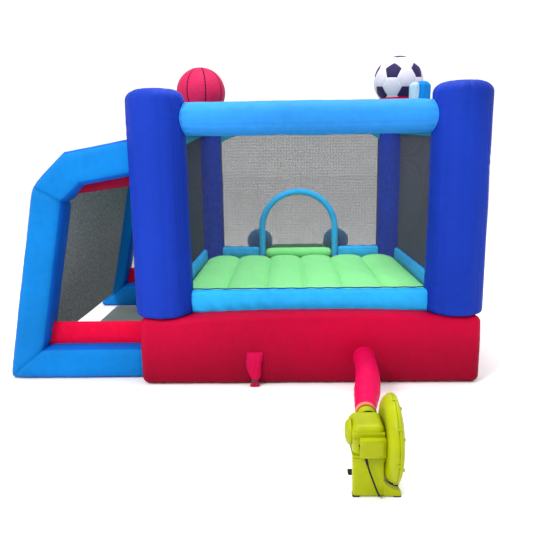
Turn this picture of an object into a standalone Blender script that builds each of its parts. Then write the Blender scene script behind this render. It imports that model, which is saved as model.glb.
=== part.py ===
"""Inflatable bounce house with a ball-topped room, a goal bay, a slide and its air blower.

The origin is the centre of the red base cushion's underside, +Z is up, -Y is the side with the blower
and +Y is the side with the doorway and the slide.
"""

import math

import bmesh
import bpy
from mathutils import Matrix, Vector

# Driving dimensions, in metres
GAP = 0.0003

BASE_HALF_X = 0.98
BASE_HALF_Y = 1.11
BASE_HEIGHT = 0.40
BASE_ROUNDING = 0.05
BASE_WALL = 0.012
DECK = BASE_HEIGHT + GAP

COLUMN_X = 0.85
COLUMN_Y = 0.96
COLUMN_RADIUS = 0.16
COLUMN_TOP = 1.68
BASKETBALL_COLUMN_TOP = 1.65
COLUMN_SHOULDER = 0.055
COLUMN_SIDES = 24

BEAM_SIDES = 20
FRONT_BEAM_RADIUS = 0.092
FRONT_BEAM_Y = -0.945
FRONT_BEAM_Z = 1.512
SIDE_BEAM_RADIUS = 0.085
REAR_BEAM_RADIUS = 0.070
REAR_BEAM_Y = 0.95
REAR_BEAM_Z = 1.575

BORDER_THICKNESS = 0.07
FRONT_BORDER_TOP = 0.535
BORDER_TOP = 0.512
FRONT_BORDER_Y = -0.97
REAR_BORDER_Y = 0.94
SIDE_BORDER_X = 0.855

FLOOR_RIDGES = 6
FLOOR_SEAM_Z = 0.412
FLOOR_CREST_Z = 0.445

NET_THICKNESS = 0.003

ARCH_X = -0.015
ARCH_RADIUS = 0.325
ARCH_SPRING_Z = 0.676
ARCH_TUBE_RADIUS = 0.028
THRESHOLD_RADIUS = 0.053
THRESHOLD_Y = 0.96

BALL_RADIUS = 0.209
BASKETBALL_Z = BASKETBALL_COLUMN_TOP + BALL_RADIUS + GAP
SOCCER_BALL_Z = 1.925
COLLAR_HEIGHT = 0.118
COLLAR_THICKNESS = 0.012
PEG_RADIUS = 0.085
PEG_TOP = 1.893
PEG_X = 0.945
PEG_Y = 0.64

SLIDE_RAIL_RADIUS = 0.115
SLIDE_RAIL_X = (-0.375, 0.345)
SLIDE_HEAD_Y = 1.23
SLIDE_HEAD_Z = 0.53
SLIDE_FOOT_Y = 2.08
SLIDE_FOOT_Z = 0.125
SLIDE_MAT_THICKNESS = 0.08

FRAME_HALF_WIDTH = 0.10
FRAME_PATH = ((-0.98, 0.10), (-1.694, 0.10), (-1.489, 1.107), (-1.336, 1.250), (-0.86, 1.333))
FRAME_MEMBERS = {"foot_beam": (0, 1), "leg": (1, 2), "top_beam": (2, 3, 4)}
FRAME_Y = {"near": -0.905, "far": 0.92}
LOWER_BAND_HEIGHT = 0.135
UPPER_BAND_HEIGHT = 0.055
BAND_THICKNESS = 0.02

BLOWER_X = 0.176
BLOWER_Y = -2.215
BLOWER_Z = 0.215
CASING_RADIUS = 0.172
CASING_X = (0.2390, 0.2800)
CASING_WALL = 0.005
COVER_DOME = 0.028
INLET_RADIUS = 0.075
GRILLE_BARS = 4
GRILLE_THICKNESS = 0.0036
HOUSING_HALF_X = 0.062
HOUSING_Y = (-2.285, -2.130)
STAND_Y = (-2.285, -2.085)
STAND_TOP = 0.165
HOUSING_TOP = 0.292
FOOT_HEIGHT = 0.013
FOOT_WIDTH = 0.028
BODY_WALL = 0.004
TOE_REACH = 0.066
TOE_WIDTH = 0.035
TOE_HEIGHT = 0.010
SHAFT_RADIUS = 0.006
MOTOR_RADIUS = 0.042
MOTOR_HALF_LENGTH = 0.045
IMPELLER_RADIUS = 0.140
IMPELLER_BLADES = 10
BLADE_SIZE = (0.024, 0.003, 0.064)
BLADE_ANGLE = 38
BLADE_MIDDLE_RADIUS = 0.098
NOZZLE_X = 0.192
NOZZLE_Z = 0.249
NOZZLE_RADIUS = 0.036
NOZZLE_REACH = 0.095
NOZZLE_WALL = 0.003

CONTROL_DEPTH = 0.030
SWITCH_SIZE = (0.0125, 0.020)
SWITCH_REST_ANGLE = -9

PORT_X = 0.31
PORT_Z = 0.165
HOSE_RADIUS = 0.057
HOSE_NECK_RADIUS = 0.0415
HOSE_WALL = 0.0025
HOSE_START_Y = -2.075
HOSE_NECK_END_Y = -2.045
# Where the hose has opened to its full width
HOSE_WIDE_PLACE = (0.206, -1.965, 0.247)
STRAP_Y = -2.062
STRAP_HALF_WIDTH = 0.009
STRAP_THICKNESS = 0.003

SLEEVE_X = -0.318
# The deflation sleeve's levels: height, half width, distance from the base, depth
SLEEVE_LEVELS = (
    (0.200, 0.047, 0.002, 0.030),
    (0.150, 0.046, 0.006, 0.036),
    (0.100, 0.040, 0.008, 0.034),
    (0.060, 0.030, 0.012, 0.026),
    (0.036, 0.016, 0.015, 0.018),
    (0.004, 0.028, 0.012, 0.024),
)
SLEEVE_SIDES = 10
TIE_RADIUS = 0.0235
TIE_THICKNESS = 0.0035
TIE_HEIGHT = 0.008
TIE_Z = 0.036

CORD_RADIUS = 0.0035
COIL_CENTRE = (0.252, -1.915)
COIL_MEAN_RADIUS = 0.0385

COIL_HALF_WIDTH = 0.0107
COIL_HEIGHT = 0.0142
CORD_EXIT = (0.1605, -2.3055, STAND_TOP + 0.012 - GAP)
PLUG_SIZE = (0.038, 0.024, 0.020)
PLUG_PLACE = (0.2698, -1.8808)
PLUG_TURN = 152
PIN_SPACING = 0.013

# Where the power cord runs, from the strain relief to the coil
CORD_ROUTE = (
    (0.1680, -2.3065, 0.1480),
    (0.1765, -2.3085, 0.1200),
    (0.1870, -2.3102, 0.0900),
    (0.1980, -2.3105, 0.0600),
    (0.2075, -2.3075, 0.0350),
    (0.2150, -2.2990, 0.0165),
    (0.2205, -2.2830, 0.0068),
    (0.2250, -2.2560, 0.0040),
    (0.2290, -2.2000, 0.0038),
    (0.2310, -2.1500, 0.0038),
    (0.2340, -2.1000, 0.0038),
    (0.2420, -2.0550, 0.0038),
    (0.2560, -2.0150, 0.0038),
    (0.2720, -1.9800, 0.0038),
    (0.2840, -1.9500, 0.0038),
)

# Colours and finishes: base colour, roughness, metallic
DARK_BLUE = ((0.018, 0.055, 0.51), 0.55, 0.0)
LIGHT_BLUE = ((0.045, 0.30, 0.84), 0.55, 0.0)
SKY_BLUE = ((0.06, 0.45, 0.91), 0.55, 0.0)
RED = ((0.60, 0.005, 0.045), 0.55, 0.0)
GREEN = ((0.25, 0.90, 0.30), 0.55, 0.0)
NET_GREY = ((0.05, 0.05, 0.055), 0.8, 0.0)
CRIMSON = ((0.66, 0.02, 0.09), 0.5, 0.0)
WHITE = ((0.82, 0.82, 0.88), 0.5, 0.0)
LIME = ((0.52, 0.60, 0.005), 0.3, 0.0)
ORANGE = ((0.85, 0.36, 0.02), 0.6, 0.0)
BLACK = ((0.02, 0.02, 0.02), 0.5, 0.0)
STEEL = ((0.45, 0.46, 0.48), 0.35, 1.0)


# Shared tools


def clear_scene():
    for thing in list(bpy.data.objects):
        bpy.data.objects.remove(thing, do_unlink=True)


def new_collection(name):
    made = bpy.data.collections.new(name)
    bpy.context.scene.collection.children.link(made)
    return made


clear_scene()
PARTS = new_collection("bounce_house")
CUTTERS = new_collection("cutters")


def finish_of(name, finish):
    colour, roughness, metallic = finish
    made = bpy.data.materials.new(name)
    made.use_nodes = True
    shader = made.node_tree.nodes["Principled BSDF"]
    shader.inputs["Base Color"].default_value = (*colour, 1.0)
    shader.inputs["Roughness"].default_value = roughness
    shader.inputs["Metallic"].default_value = metallic
    made.diffuse_color = (*colour, 1.0)
    return made


def add_object(name, data, finish=None):
    """A new object: a part where it has a finish, a hidden cutter where it has none."""
    made = bpy.data.objects.new(name, data)
    if finish:
        PARTS.objects.link(made)
        data.materials.append(finish_of(name, finish))
    else:
        CUTTERS.objects.link(made)
        made.hide_render = True
        made.display_type = "WIRE"
    return made


def mesh_of(name, shape):
    data = bpy.data.meshes.new(name)
    shape.to_mesh(data)
    shape.free()
    return data


def bevel(target, width, segments=2):
    change = target.modifiers.new("rounded_edges", "BEVEL")
    change.width = width
    change.segments = segments
    change.limit_method = "ANGLE"
    change.angle_limit = math.radians(40)
    return target


def boolean(target, other, operation="DIFFERENCE"):
    change = target.modifiers.new(operation.lower(), "BOOLEAN")
    change.operation = operation
    change.object = other
    return target


def box(name, low, high, finish=None, rounding=0.0, segments=2):
    shape = bmesh.new()
    bmesh.ops.create_cube(shape, size=1.0)
    sides = Vector(high) - Vector(low)
    bmesh.ops.scale(shape, vec=sides, verts=shape.verts)
    made = add_object(name, mesh_of(name, shape), finish)
    made.location = (Vector(high) + Vector(low)) / 2
    if rounding:
        bevel(made, rounding, segments)
    return made


def turned(name, profile, finish=None, sides=24, closed=False):
    """A profile of (radius, height) points, listed down its outer side, turned about the local Z axis."""
    data = bpy.data.meshes.new(name)
    points = [(radius, 0.0, height) for radius, height in profile]
    edges = [(i, i + 1) for i in range(len(points) - 1)]
    if closed:
        edges.append((len(points) - 1, 0))
    data.from_pydata(points, edges, [])
    made = add_object(name, data, finish)
    screw = made.modifiers.new("turned", "SCREW")
    screw.steps = sides
    screw.render_steps = sides
    screw.use_merge_vertices = True
    screw.merge_threshold = 0.00001
    return made


def rod(name, radius, low, high, finish=None, sides=24):
    """A solid cylinder along local Z, between two heights."""
    return turned(name, ((0, high), (radius, high), (radius, low), (0, low)), finish, sides)


def band(name, outer, thickness, height, finish=None):
    """A flat hoop about local Z."""
    half = height / 2
    inner = outer - thickness
    profile = ((outer, half), (outer, -half), (inner, -half), (inner, half))
    return turned(name, profile, finish, closed=True)


def along_x(target):
    target.rotation_euler = (0, math.radians(90), 0)
    return target


def along_y(target):
    target.rotation_euler = (math.radians(-90), 0, 0)
    return target


def arc(centre, radius, start, end, count):
    """Points of an arc, from one angle to another in degrees."""
    angles = [math.radians(start + (end - start) * i / count) for i in range(count + 1)]
    return [(centre[0] + radius * math.cos(a), centre[1] + radius * math.sin(a)) for a in angles]


def as_mesh(curve_object):
    """The curve object as a mesh object with welded caps, so that it can be cut."""
    bpy.context.view_layer.update()
    graph = bpy.context.evaluated_depsgraph_get()
    data = bpy.data.meshes.new_from_object(curve_object.evaluated_get(graph))
    shape = bmesh.new()
    shape.from_mesh(data)
    bmesh.ops.remove_doubles(shape, verts=shape.verts, dist=0.00001)
    shape.to_mesh(data)
    shape.free()
    name = curve_object.name
    made = bpy.data.objects.new(name + "_mesh", data)
    made.matrix_world = curve_object.matrix_world
    for holder in curve_object.users_collection:
        holder.objects.link(made)
    made.hide_render = curve_object.hide_render
    made.display_type = curve_object.display_type
    bpy.data.objects.remove(curve_object, do_unlink=True)
    made.name = name
    return made


def outline_slab(name, outline, thickness, finish=None):
    """A flat outline of (x, z) points, upright in the XZ plane and centred on Y."""
    data = bpy.data.curves.new(name, "CURVE")
    data.dimensions = "2D"
    data.fill_mode = "BOTH"
    data.extrude = thickness / 2
    spline = data.splines.new("POLY")
    spline.points.add(len(outline) - 1)
    for point, (across, up) in zip(spline.points, outline):
        point.co = (across, up, 0.0, 1.0)
    spline.use_cyclic_u = True
    made = add_object(name, data, finish)
    made.rotation_euler = (math.radians(90), 0, 0)
    return as_mesh(made)


def tube(name, points, radius, finish=None, sides_each_quarter=2):
    """A round tube with filled caps along a list of points."""
    data = bpy.data.curves.new(name, "CURVE")
    data.dimensions = "3D"
    data.bevel_depth = radius
    data.bevel_resolution = sides_each_quarter
    data.use_fill_caps = True
    spline = data.splines.new("POLY")
    spline.points.add(len(points) - 1)
    for point, place in zip(spline.points, points):
        point.co = (*place, 1.0)
    return add_object(name, data, finish)


def smooth_points(points, steps):
    """Points of a Catmull-Rom curve through the given ones."""
    ends = [2 * Vector(points[0]) - Vector(points[1]), 2 * Vector(points[-1]) - Vector(points[-2])]
    knots = [ends[0]] + [Vector(p) for p in points] + [ends[1]]
    found = []
    for a, b, c, d in zip(knots, knots[1:], knots[2:], knots[3:]):
        for step in range(steps):
            t = step / steps
            bend = 2 * a - 5 * b + 4 * c - d
            twist = 3 * b - a - 3 * c + d
            found.append((2 * b + t * (c - a) + t * t * bend + t * t * t * twist) / 2)
    return found + [knots[-2]]


def inset(outline, distance):
    """An outline, listed clockwise or anticlockwise, with every side moved inwards."""
    corners = [Vector(p) for p in outline]
    sides = list(zip(corners, corners[1:] + corners[:1]))
    turn = math.copysign(1, sum(start.cross(end) for start, end in sides))
    lines = []
    for start, end in sides:
        along = (end - start).normalized()
        lines.append((start + Vector((-along.y, along.x)) * turn * distance, along))
    found = []
    for (p, u), (q, v) in zip(lines[-1:] + lines[:-1], lines):
        reach = (q - p).cross(v) / u.cross(v)
        found.append(tuple(p + u * reach))
    return found


# Base, columns, beams and borders


def column_cutter(side_x, side_y):
    """The room that a corner column takes, with a gap all round it."""
    made = rod(f"column_room_{side_x}_{side_y}", COLUMN_RADIUS + GAP, 0.2, 2.0, sides=COLUMN_SIDES)
    made.location = (side_x * COLUMN_X, side_y * COLUMN_Y, 0)
    return made


COLUMN_ROOMS = {(x, y): column_cutter(x, y) for x in (-1, 1) for y in (-1, 1)}


def fit_to_columns(target, corners):
    for corner in corners:
        boolean(target, COLUMN_ROOMS[corner])
    return target


def base_cushion():
    """The red cushion that everything stands on: an air chamber with its inlet at the front."""
    half = Vector((BASE_HALF_X, BASE_HALF_Y, BASE_HEIGHT / 2))
    middle = Vector((0, 0, BASE_HEIGHT / 2))
    base = box("base_cushion", middle - half, middle + half, RED, BASE_ROUNDING, 3)
    hollow = half - Vector((BASE_WALL, BASE_WALL, BASE_WALL))
    chamber = box("base_chamber", middle - hollow, middle + hollow)
    bevel(chamber, BASE_ROUNDING - BASE_WALL, 2)
    boolean(base, chamber)
    port = along_y(rod("base_port", HOSE_RADIUS - HOSE_WALL, -0.06, 0.06, sides=16))
    port.location = (PORT_X, -BASE_HALF_Y, PORT_Z)
    boolean(base, port)


def corner_columns():
    names = {(-1, -1): "front_left", (1, -1): "front_right", (-1, 1): "rear_left", (1, 1): "rear_right"}
    for (side_x, side_y), place in names.items():
        top = BASKETBALL_COLUMN_TOP if place == "rear_left" else COLUMN_TOP
        shoulder_centre = (COLUMN_RADIUS - COLUMN_SHOULDER, top - COLUMN_SHOULDER)
        shoulder = arc(shoulder_centre, COLUMN_SHOULDER, 90, 0, 4)
        profile = [(0, top), *shoulder, (COLUMN_RADIUS, DECK), (0, DECK)]
        column = turned(f"column_{place}", profile, DARK_BLUE, COLUMN_SIDES)
        column.location = (side_x * COLUMN_X, side_y * COLUMN_Y, 0)


def side_beam_z(y):
    """Height of a side beam's axis, which rises from the front beam to the rear one."""
    return FRONT_BEAM_Z + (REAR_BEAM_Z - FRONT_BEAM_Z) * (y + COLUMN_Y) / (2 * COLUMN_Y)


def side_beam_rod(name, side, radius, finish=None):
    rise = REAR_BEAM_Z - FRONT_BEAM_Z
    made = rod(name, radius, -COLUMN_Y, COLUMN_Y, finish, BEAM_SIDES)
    made.rotation_euler = (math.atan2(rise, 2 * COLUMN_Y) - math.radians(90), 0, 0)
    made.location = (side * COLUMN_X, 0, side_beam_z(0))
    return made


def top_beams():
    for name, radius, y, z, corners in (
        ("front_beam", FRONT_BEAM_RADIUS, FRONT_BEAM_Y, FRONT_BEAM_Z, ((-1, -1), (1, -1))),
        ("rear_beam", REAR_BEAM_RADIUS, REAR_BEAM_Y, REAR_BEAM_Z, ((-1, 1), (1, 1))),
    ):
        beam = along_x(rod(name, radius, -COLUMN_X, COLUMN_X, LIGHT_BLUE, BEAM_SIDES))
        beam.location = (0, y, z)
        fit_to_columns(beam, corners)
    for name, side in (("left_beam", -1), ("right_beam", 1)):
        fit_to_columns(side_beam_rod(name, side, SIDE_BEAM_RADIUS, LIGHT_BLUE), ((side, -1), (side, 1)))


def borders():
    """The low sky-blue walls round the bouncing floor."""
    half = BORDER_THICKNESS / 2
    front = box(
        "front_border",
        (-COLUMN_X, FRONT_BORDER_Y - half, DECK),
        (COLUMN_X, FRONT_BORDER_Y + half, FRONT_BORDER_TOP),
        SKY_BLUE,
        0.02,
    )
    fit_to_columns(front, ((-1, -1), (1, -1)))
    for name, side in (("left_border", -1), ("right_border", 1)):
        middle = side * SIDE_BORDER_X
        wall = box(
            name,
            (middle - half, -COLUMN_Y, DECK),
            (middle + half, COLUMN_Y, BORDER_TOP),
            SKY_BLUE,
            0.02,
        )
        fit_to_columns(wall, ((side, -1), (side, 1)))
    reach = ARCH_RADIUS + ARCH_TUBE_RADIUS + GAP
    for name, side in (("rear_border_left", -1), ("rear_border_right", 1)):
        inner = ARCH_X + side * reach
        ends = sorted((inner, side * COLUMN_X))
        wall = box(
            name,
            (ends[0], REAR_BORDER_Y - half, DECK),
            (ends[1], REAR_BORDER_Y + half, BORDER_TOP),
            SKY_BLUE,
            0.02,
        )
        fit_to_columns(wall, ((side, 1),))


def bounce_floor():
    """The green jumping floor: long air channels side by side, with a sewn valley between each two."""
    edge = SIDE_BORDER_X - BORDER_THICKNESS / 2 - GAP
    front = FRONT_BORDER_Y + BORDER_THICKNESS / 2 + GAP
    rear = REAR_BORDER_Y - BORDER_THICKNESS / 2 - GAP
    ridge = 2 * edge / FLOOR_RIDGES
    rise = FLOOR_CREST_Z - FLOOR_SEAM_Z
    outline = [(-edge, DECK)]
    steps = 6
    for number in range(FLOOR_RIDGES):
        start = -edge + number * ridge
        for step in range(steps):
            share = step / steps
            outline.append((start + share * ridge, FLOOR_SEAM_Z + rise * math.sin(math.pi * share)))
    outline += [(edge, FLOOR_SEAM_Z), (edge, DECK)]
    made = outline_slab("bounce_floor", outline, rear - front, GREEN)
    made.location = (0, (front + rear) / 2, 0)
    fit_to_columns(made, COLUMN_ROOMS)


# Doorway, nets and toppers


def doorway():
    legs_up = [(ARCH_X - ARCH_RADIUS, DECK), (ARCH_X - ARCH_RADIUS, 0.54)]
    over = arc((ARCH_X, ARCH_SPRING_Z), ARCH_RADIUS, 180, 0, 12)
    legs_down = [(ARCH_X + ARCH_RADIUS, 0.54), (ARCH_X + ARCH_RADIUS, DECK)]
    path = [(x, REAR_BORDER_Y, z) for x, z in legs_up + over + legs_down]
    tube("door_arch", path, ARCH_TUBE_RADIUS, LIGHT_BLUE, 2)

    reach = ARCH_RADIUS - ARCH_TUBE_RADIUS - GAP
    roll = along_x(rod("threshold_roll", THRESHOLD_RADIUS, -reach, reach, GREEN, 20))
    roll.location = (ARCH_X, THRESHOLD_Y, DECK + THRESHOLD_RADIUS)


def nets():
    """The net walls of the room; the one at the doorway is cut out round the arch."""
    for name, y, low, top in (
        ("front_net", FRONT_BEAM_Y, FRONT_BORDER_TOP + GAP, FRONT_BEAM_Z - FRONT_BEAM_RADIUS - GAP),
        ("rear_net", REAR_BORDER_Y, BORDER_TOP + GAP, REAR_BEAM_Z - REAR_BEAM_RADIUS - GAP),
    ):
        outline = ((-COLUMN_X, low), (COLUMN_X, low), (COLUMN_X, top), (-COLUMN_X, top))
        net = outline_slab(name, outline, NET_THICKNESS, NET_GREY)
        net.location = (0, y, 0)
        side_y = -1 if y < 0 else 1
        fit_to_columns(net, ((-1, side_y), (1, side_y)))
        if name == "rear_net":
            reach = ARCH_RADIUS + ARCH_TUBE_RADIUS + 0.003
            arch = arc((ARCH_X, ARCH_SPRING_Z), reach, 180, 0, 24)
            room = outline_slab("arch_room", [(ARCH_X - reach, 0.3), *arch, (ARCH_X + reach, 0.3)], 0.1)
            room.location = (0, y, 0)
            boolean(net, room)
    low = BORDER_TOP + GAP
    under_beam = SIDE_BEAM_RADIUS + 2 * GAP
    front_top, rear_top = FRONT_BEAM_Z - under_beam, REAR_BEAM_Z - under_beam
    outline = ((-COLUMN_Y, low), (COLUMN_Y, low), (COLUMN_Y, rear_top), (-COLUMN_Y, front_top))
    for name, side in (("left_net", -1), ("right_net", 1)):
        middle, half = side * COLUMN_X, NET_THICKNESS / 2
        net = lengthways_slab(name, outline, (middle - half, middle + half), NET_GREY)
        fit_to_columns(net, ((side, -1), (side, 1)))


def ball(name, place, finish=None, gap=0.0):
    """An inflated ball, given as a turned half circle."""
    radius = BALL_RADIUS + gap
    profile = arc((0, 0), radius, 90, -90, 12)
    profile[0] = (0, radius)
    profile[-1] = (0, -radius)
    made = turned(name, profile, finish, 24)
    made.location = place
    return made


def ball_collar(name, ball_place):
    """The red fabric cup that joins a ball to the column under it."""
    outer = COLUMN_RADIUS - 0.004
    inner = outer - COLLAR_THICKNESS
    low = COLUMN_TOP + GAP
    high = low + COLLAR_HEIGHT
    profile = ((outer, high), (outer, low), (inner, low), (inner, high))
    made = turned(name, profile, RED, 24, closed=True)
    made.location = (ball_place[0], ball_place[1], 0)
    boolean(made, ball(name + "_room", ball_place, gap=GAP))


def toppers():
    basketball_place = (-COLUMN_X, COLUMN_Y, BASKETBALL_Z)
    soccer_place = (COLUMN_X, COLUMN_Y, SOCCER_BALL_Z)
    ball("basketball", basketball_place, CRIMSON)
    ball("soccer_ball", soccer_place, WHITE)
    ball_collar("soccer_ball_collar", soccer_place)

    dome = arc((0, PEG_TOP - PEG_RADIUS), PEG_RADIUS, 90, 0, 5)
    dome[0] = (0, PEG_TOP)
    foot = side_beam_z(PEG_Y) + 0.02
    peg = turned("beam_peg", [*dome, (PEG_RADIUS, foot), (0, foot)], LIGHT_BLUE, 20)
    peg.location = (PEG_X, PEG_Y, 0)
    boolean(peg, side_beam_rod("peg_seat", 1, SIDE_BEAM_RADIUS + GAP))


# Slide


def slide():
    run = Vector((SLIDE_FOOT_Y - SLIDE_HEAD_Y, SLIDE_FOOT_Z - SLIDE_HEAD_Z))
    slope = run.y / run.x
    tilt = math.atan2(-run.y, run.x)
    lowered = (SLIDE_RAIL_RADIUS + GAP) / math.cos(tilt)
    start_y = BASE_HALF_Y + GAP

    def rail_axis(y):
        return SLIDE_HEAD_Z + slope * (y - SLIDE_HEAD_Y)

    def bed(y):
        return rail_axis(y) - lowered

    toe_y = SLIDE_HEAD_Y + (0.004 + lowered - SLIDE_HEAD_Z) / slope
    inner = [x + side * (SLIDE_RAIL_RADIUS + GAP) for x, side in zip(SLIDE_RAIL_X, (1, -1))]
    outer = [x - side * SLIDE_RAIL_RADIUS for x, side in zip(SLIDE_RAIL_X, (1, -1))]
    bed_top = min(bed(start_y), BASE_HEIGHT - 0.01)
    bed_start = SLIDE_HEAD_Y + (bed_top + lowered - SLIDE_HEAD_Z) / slope

    body_outline = ((start_y, 0.0), (toe_y, 0.0), (toe_y, 0.004), (bed_start, bed_top), (start_y, bed_top))
    lengthways_slab("slide_body", body_outline, outer, RED)

    thick = SLIDE_MAT_THICKNESS / math.cos(tilt)
    lift = GAP / math.cos(tilt)
    mat_outline = (
        (start_y, bed_top + lift),
        (bed_start, bed_top + lift),
        (toe_y, 0.004 + lift),
        (toe_y + 0.06, 0.0),
        (toe_y + 0.10, 0.0),
        (toe_y + 0.10, 0.02),
        (bed_start, bed_top + thick),
        (start_y, bed_top + thick),
    )
    lengthways_slab("slide_mat", mat_outline, inner, GREEN)

    rail_length = run.length
    cap = arc((0, 0), SLIDE_RAIL_RADIUS, 90, 0, 5)
    cap[0] = (0, SLIDE_RAIL_RADIUS)
    profile = cap + [(r, -z - rail_length) for r, z in reversed(cap)]
    for name, x in zip(("slide_rail_left", "slide_rail_right"), SLIDE_RAIL_X):
        rail = turned(name, profile, LIGHT_BLUE, 20)
        rail.rotation_euler = (math.radians(90) - tilt, 0, 0)
        rail.location = (x, SLIDE_HEAD_Y, SLIDE_HEAD_Z)


def lengthways_slab(name, outline, ends, finish):
    """A flat outline of (y, z) points, upright in the YZ plane, from one X to another."""
    made = outline_slab(name, outline, ends[1] - ends[0], finish)
    made.rotation_euler = (math.radians(90), 0, math.radians(90))
    made.location = ((ends[0] + ends[1]) / 2, 0, 0)
    return made


# Goal bay


def member_corners():
    """Outer and inner corner points of the goal frame, mitred at each bend of its centre line."""
    path = [Vector(p) for p in FRAME_PATH]
    sides = [(b - a).normalized() for a, b in zip(path, path[1:])]
    outer, inner = [], []
    for i, point in enumerate(path):
        before, after = sides[max(i - 1, 0)], sides[min(i, len(sides) - 1)]
        across = (Vector((before.y, -before.x)) + Vector((after.y, -after.x))).normalized()
        reach = FRAME_HALF_WIDTH / across.dot(Vector((after.y, -after.x)))
        inner.append(point + across * reach)
        outer.append(point - across * reach)
    return outer, inner


def goal_bay():
    outer, inner = member_corners()
    house_side = -BASE_HALF_X - GAP / 2
    column_side = -COLUMN_X - COLUMN_RADIUS - GAP
    leg_low, leg_high, beam_low = inner[1], inner[2], inner[3]

    def leg_edge(z):
        return leg_low.lerp(leg_high, (z - leg_low.y) / (leg_high.y - leg_low.y))

    beam_slope = (inner[4].y - beam_low.y) / (inner[4].x - beam_low.x)
    beam_end = Vector((column_side, beam_low.y + beam_slope * (column_side - beam_low.x)))
    drop = Vector((0, -UPPER_BAND_HEIGHT))
    upper_corner = beam_low.lerp(leg_high, 0.6)
    lower_top = leg_edge(leg_low.y + LOWER_BAND_HEIGHT)
    lower_band = (leg_low, (house_side, leg_low.y), (house_side, lower_top.y), lower_top)
    upper_band = (upper_corner, beam_end + drop, beam_end, beam_low)
    net = (lower_top, (column_side, lower_top.y), beam_end + drop, upper_corner, leg_high)

    for place, y in FRAME_Y.items():
        side_y = -1 if y < 0 else 1
        for member, bends in FRAME_MEMBERS.items():
            outline = [outer[i] for i in bends] + [inner[i] for i in reversed(bends)]
            bar = outline_slab(
                f"goal_{place}_{member}", inset(outline, GAP / 2), 2 * FRAME_HALF_WIDTH, LIGHT_BLUE
            )
            bar.location = (0, y, 0)
            bevel(bar, 0.03, 2)
            if member == "top_beam":
                fit_to_columns(bar, ((-1, side_y),))
        for name, outline in ((f"goal_{place}_lower_band", lower_band), (f"goal_{place}_upper_band", upper_band)):
            panel = outline_slab(name, inset(outline, GAP / 2), BAND_THICKNESS, RED)
            panel.location = (0, y, 0)

    panel = outline_slab("goal_far_net", inset(net, GAP / 2), NET_THICKNESS, NET_GREY)
    panel.location = (0, FRAME_Y["far"], 0)

    # The side net leans with the legs from one frame to the other, over the first bend of the top beams
    share = NET_THICKNESS / (4 * FRAME_HALF_WIDTH)
    bends = (1, 2, 3)
    front = [(outer[i] + inner[i]) / 2 + (outer[i] - inner[i]) * share for i in bends]
    back = [(outer[i] + inner[i]) / 2 - (outer[i] - inner[i]) * share for i in bends]
    room = FRAME_Y["far"] - FRAME_Y["near"] - 2 * (FRAME_HALF_WIDTH + GAP)
    side = outline_slab("goal_side_net", front + back[::-1], room, NET_GREY)
    side.location = (0, (FRAME_Y["far"] + FRAME_Y["near"]) / 2, 0)


# Air line


def inflation_hose():
    """The red air sleeve from the blower's nozzle to the base's port, open at both ends."""
    data = bpy.data.curves.new("inflation_hose", "CURVE")
    data.dimensions = "3D"
    data.bevel_depth = HOSE_RADIUS
    data.bevel_resolution = 6
    data.resolution_u = 7
    neck = HOSE_NECK_RADIUS / HOSE_RADIUS
    # Place, width, and the handles back and ahead
    knots = (
        ((NOZZLE_X, HOSE_START_Y, NOZZLE_Z), neck, (0, -0.010, 0), (0, 0.010, 0)),
        ((NOZZLE_X, HOSE_NECK_END_Y, NOZZLE_Z), neck, (0, -0.010, 0), (0, 0.030, 0)),
        (HOSE_WIDE_PLACE, 1.0, (-0.009, -0.030, 0.001), (0.075, 0.250, -0.008)),
        ((PORT_X, -BASE_HALF_Y - GAP, PORT_Z), 1.0, (0, -0.360, 0), (0, 0.360, 0)),
    )
    spline = data.splines.new("BEZIER")
    spline.bezier_points.add(len(knots) - 1)
    for point, (place, width, back, ahead) in zip(spline.bezier_points, knots):
        point.co = place
        point.radius = width
        point.handle_left = Vector(place) + Vector(back)
        point.handle_right = Vector(place) + Vector(ahead)
    made = as_mesh(add_object("inflation_hose", data, RED))
    wall = made.modifiers.new("wall", "SOLIDIFY")
    wall.thickness = HOSE_WALL
    wall.offset = -1
    wall.use_even_offset = True

    outer = HOSE_NECK_RADIUS + 0.0015 + STRAP_THICKNESS
    strap = along_y(band("hose_strap", outer, STRAP_THICKNESS, 2 * STRAP_HALF_WIDTH, ORANGE))
    strap.location = (NOZZLE_X, STRAP_Y, NOZZLE_Z)


def deflation_sleeve():
    """The second, unused red sleeve: it hangs from the base, tied shut with a cord."""
    face = -BASE_HALF_Y - GAP
    shape = bmesh.new()
    rings = []
    for z, half_x, near, depth in SLEEVE_LEVELS:
        ring = []
        for i in range(SLEEVE_SIDES):
            angle = 2 * math.pi * i / SLEEVE_SIDES
            x = SLEEVE_X + half_x * math.cos(angle)
            y = face - near - depth / 2 + depth / 2 * math.sin(angle)
            ring.append(shape.verts.new((x, y, z)))
        rings.append(ring)
    shape.faces.new(rings[0])
    shape.faces.new(list(reversed(rings[-1])))
    for upper, lower in zip(rings, rings[1:]):
        for i in range(SLEEVE_SIDES):
            j = (i + 1) % SLEEVE_SIDES
            shape.faces.new((upper[i], lower[i], lower[j], upper[j]))
    bmesh.ops.recalc_face_normals(shape, faces=shape.faces)
    add_object("deflation_sleeve", mesh_of("deflation_sleeve", shape), RED)

    knot = band("sleeve_tie", TIE_RADIUS, TIE_THICKNESS, TIE_HEIGHT, BLACK)
    knot.location = (SLEEVE_X, face - 0.024, TIE_Z)


# Blower


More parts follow.
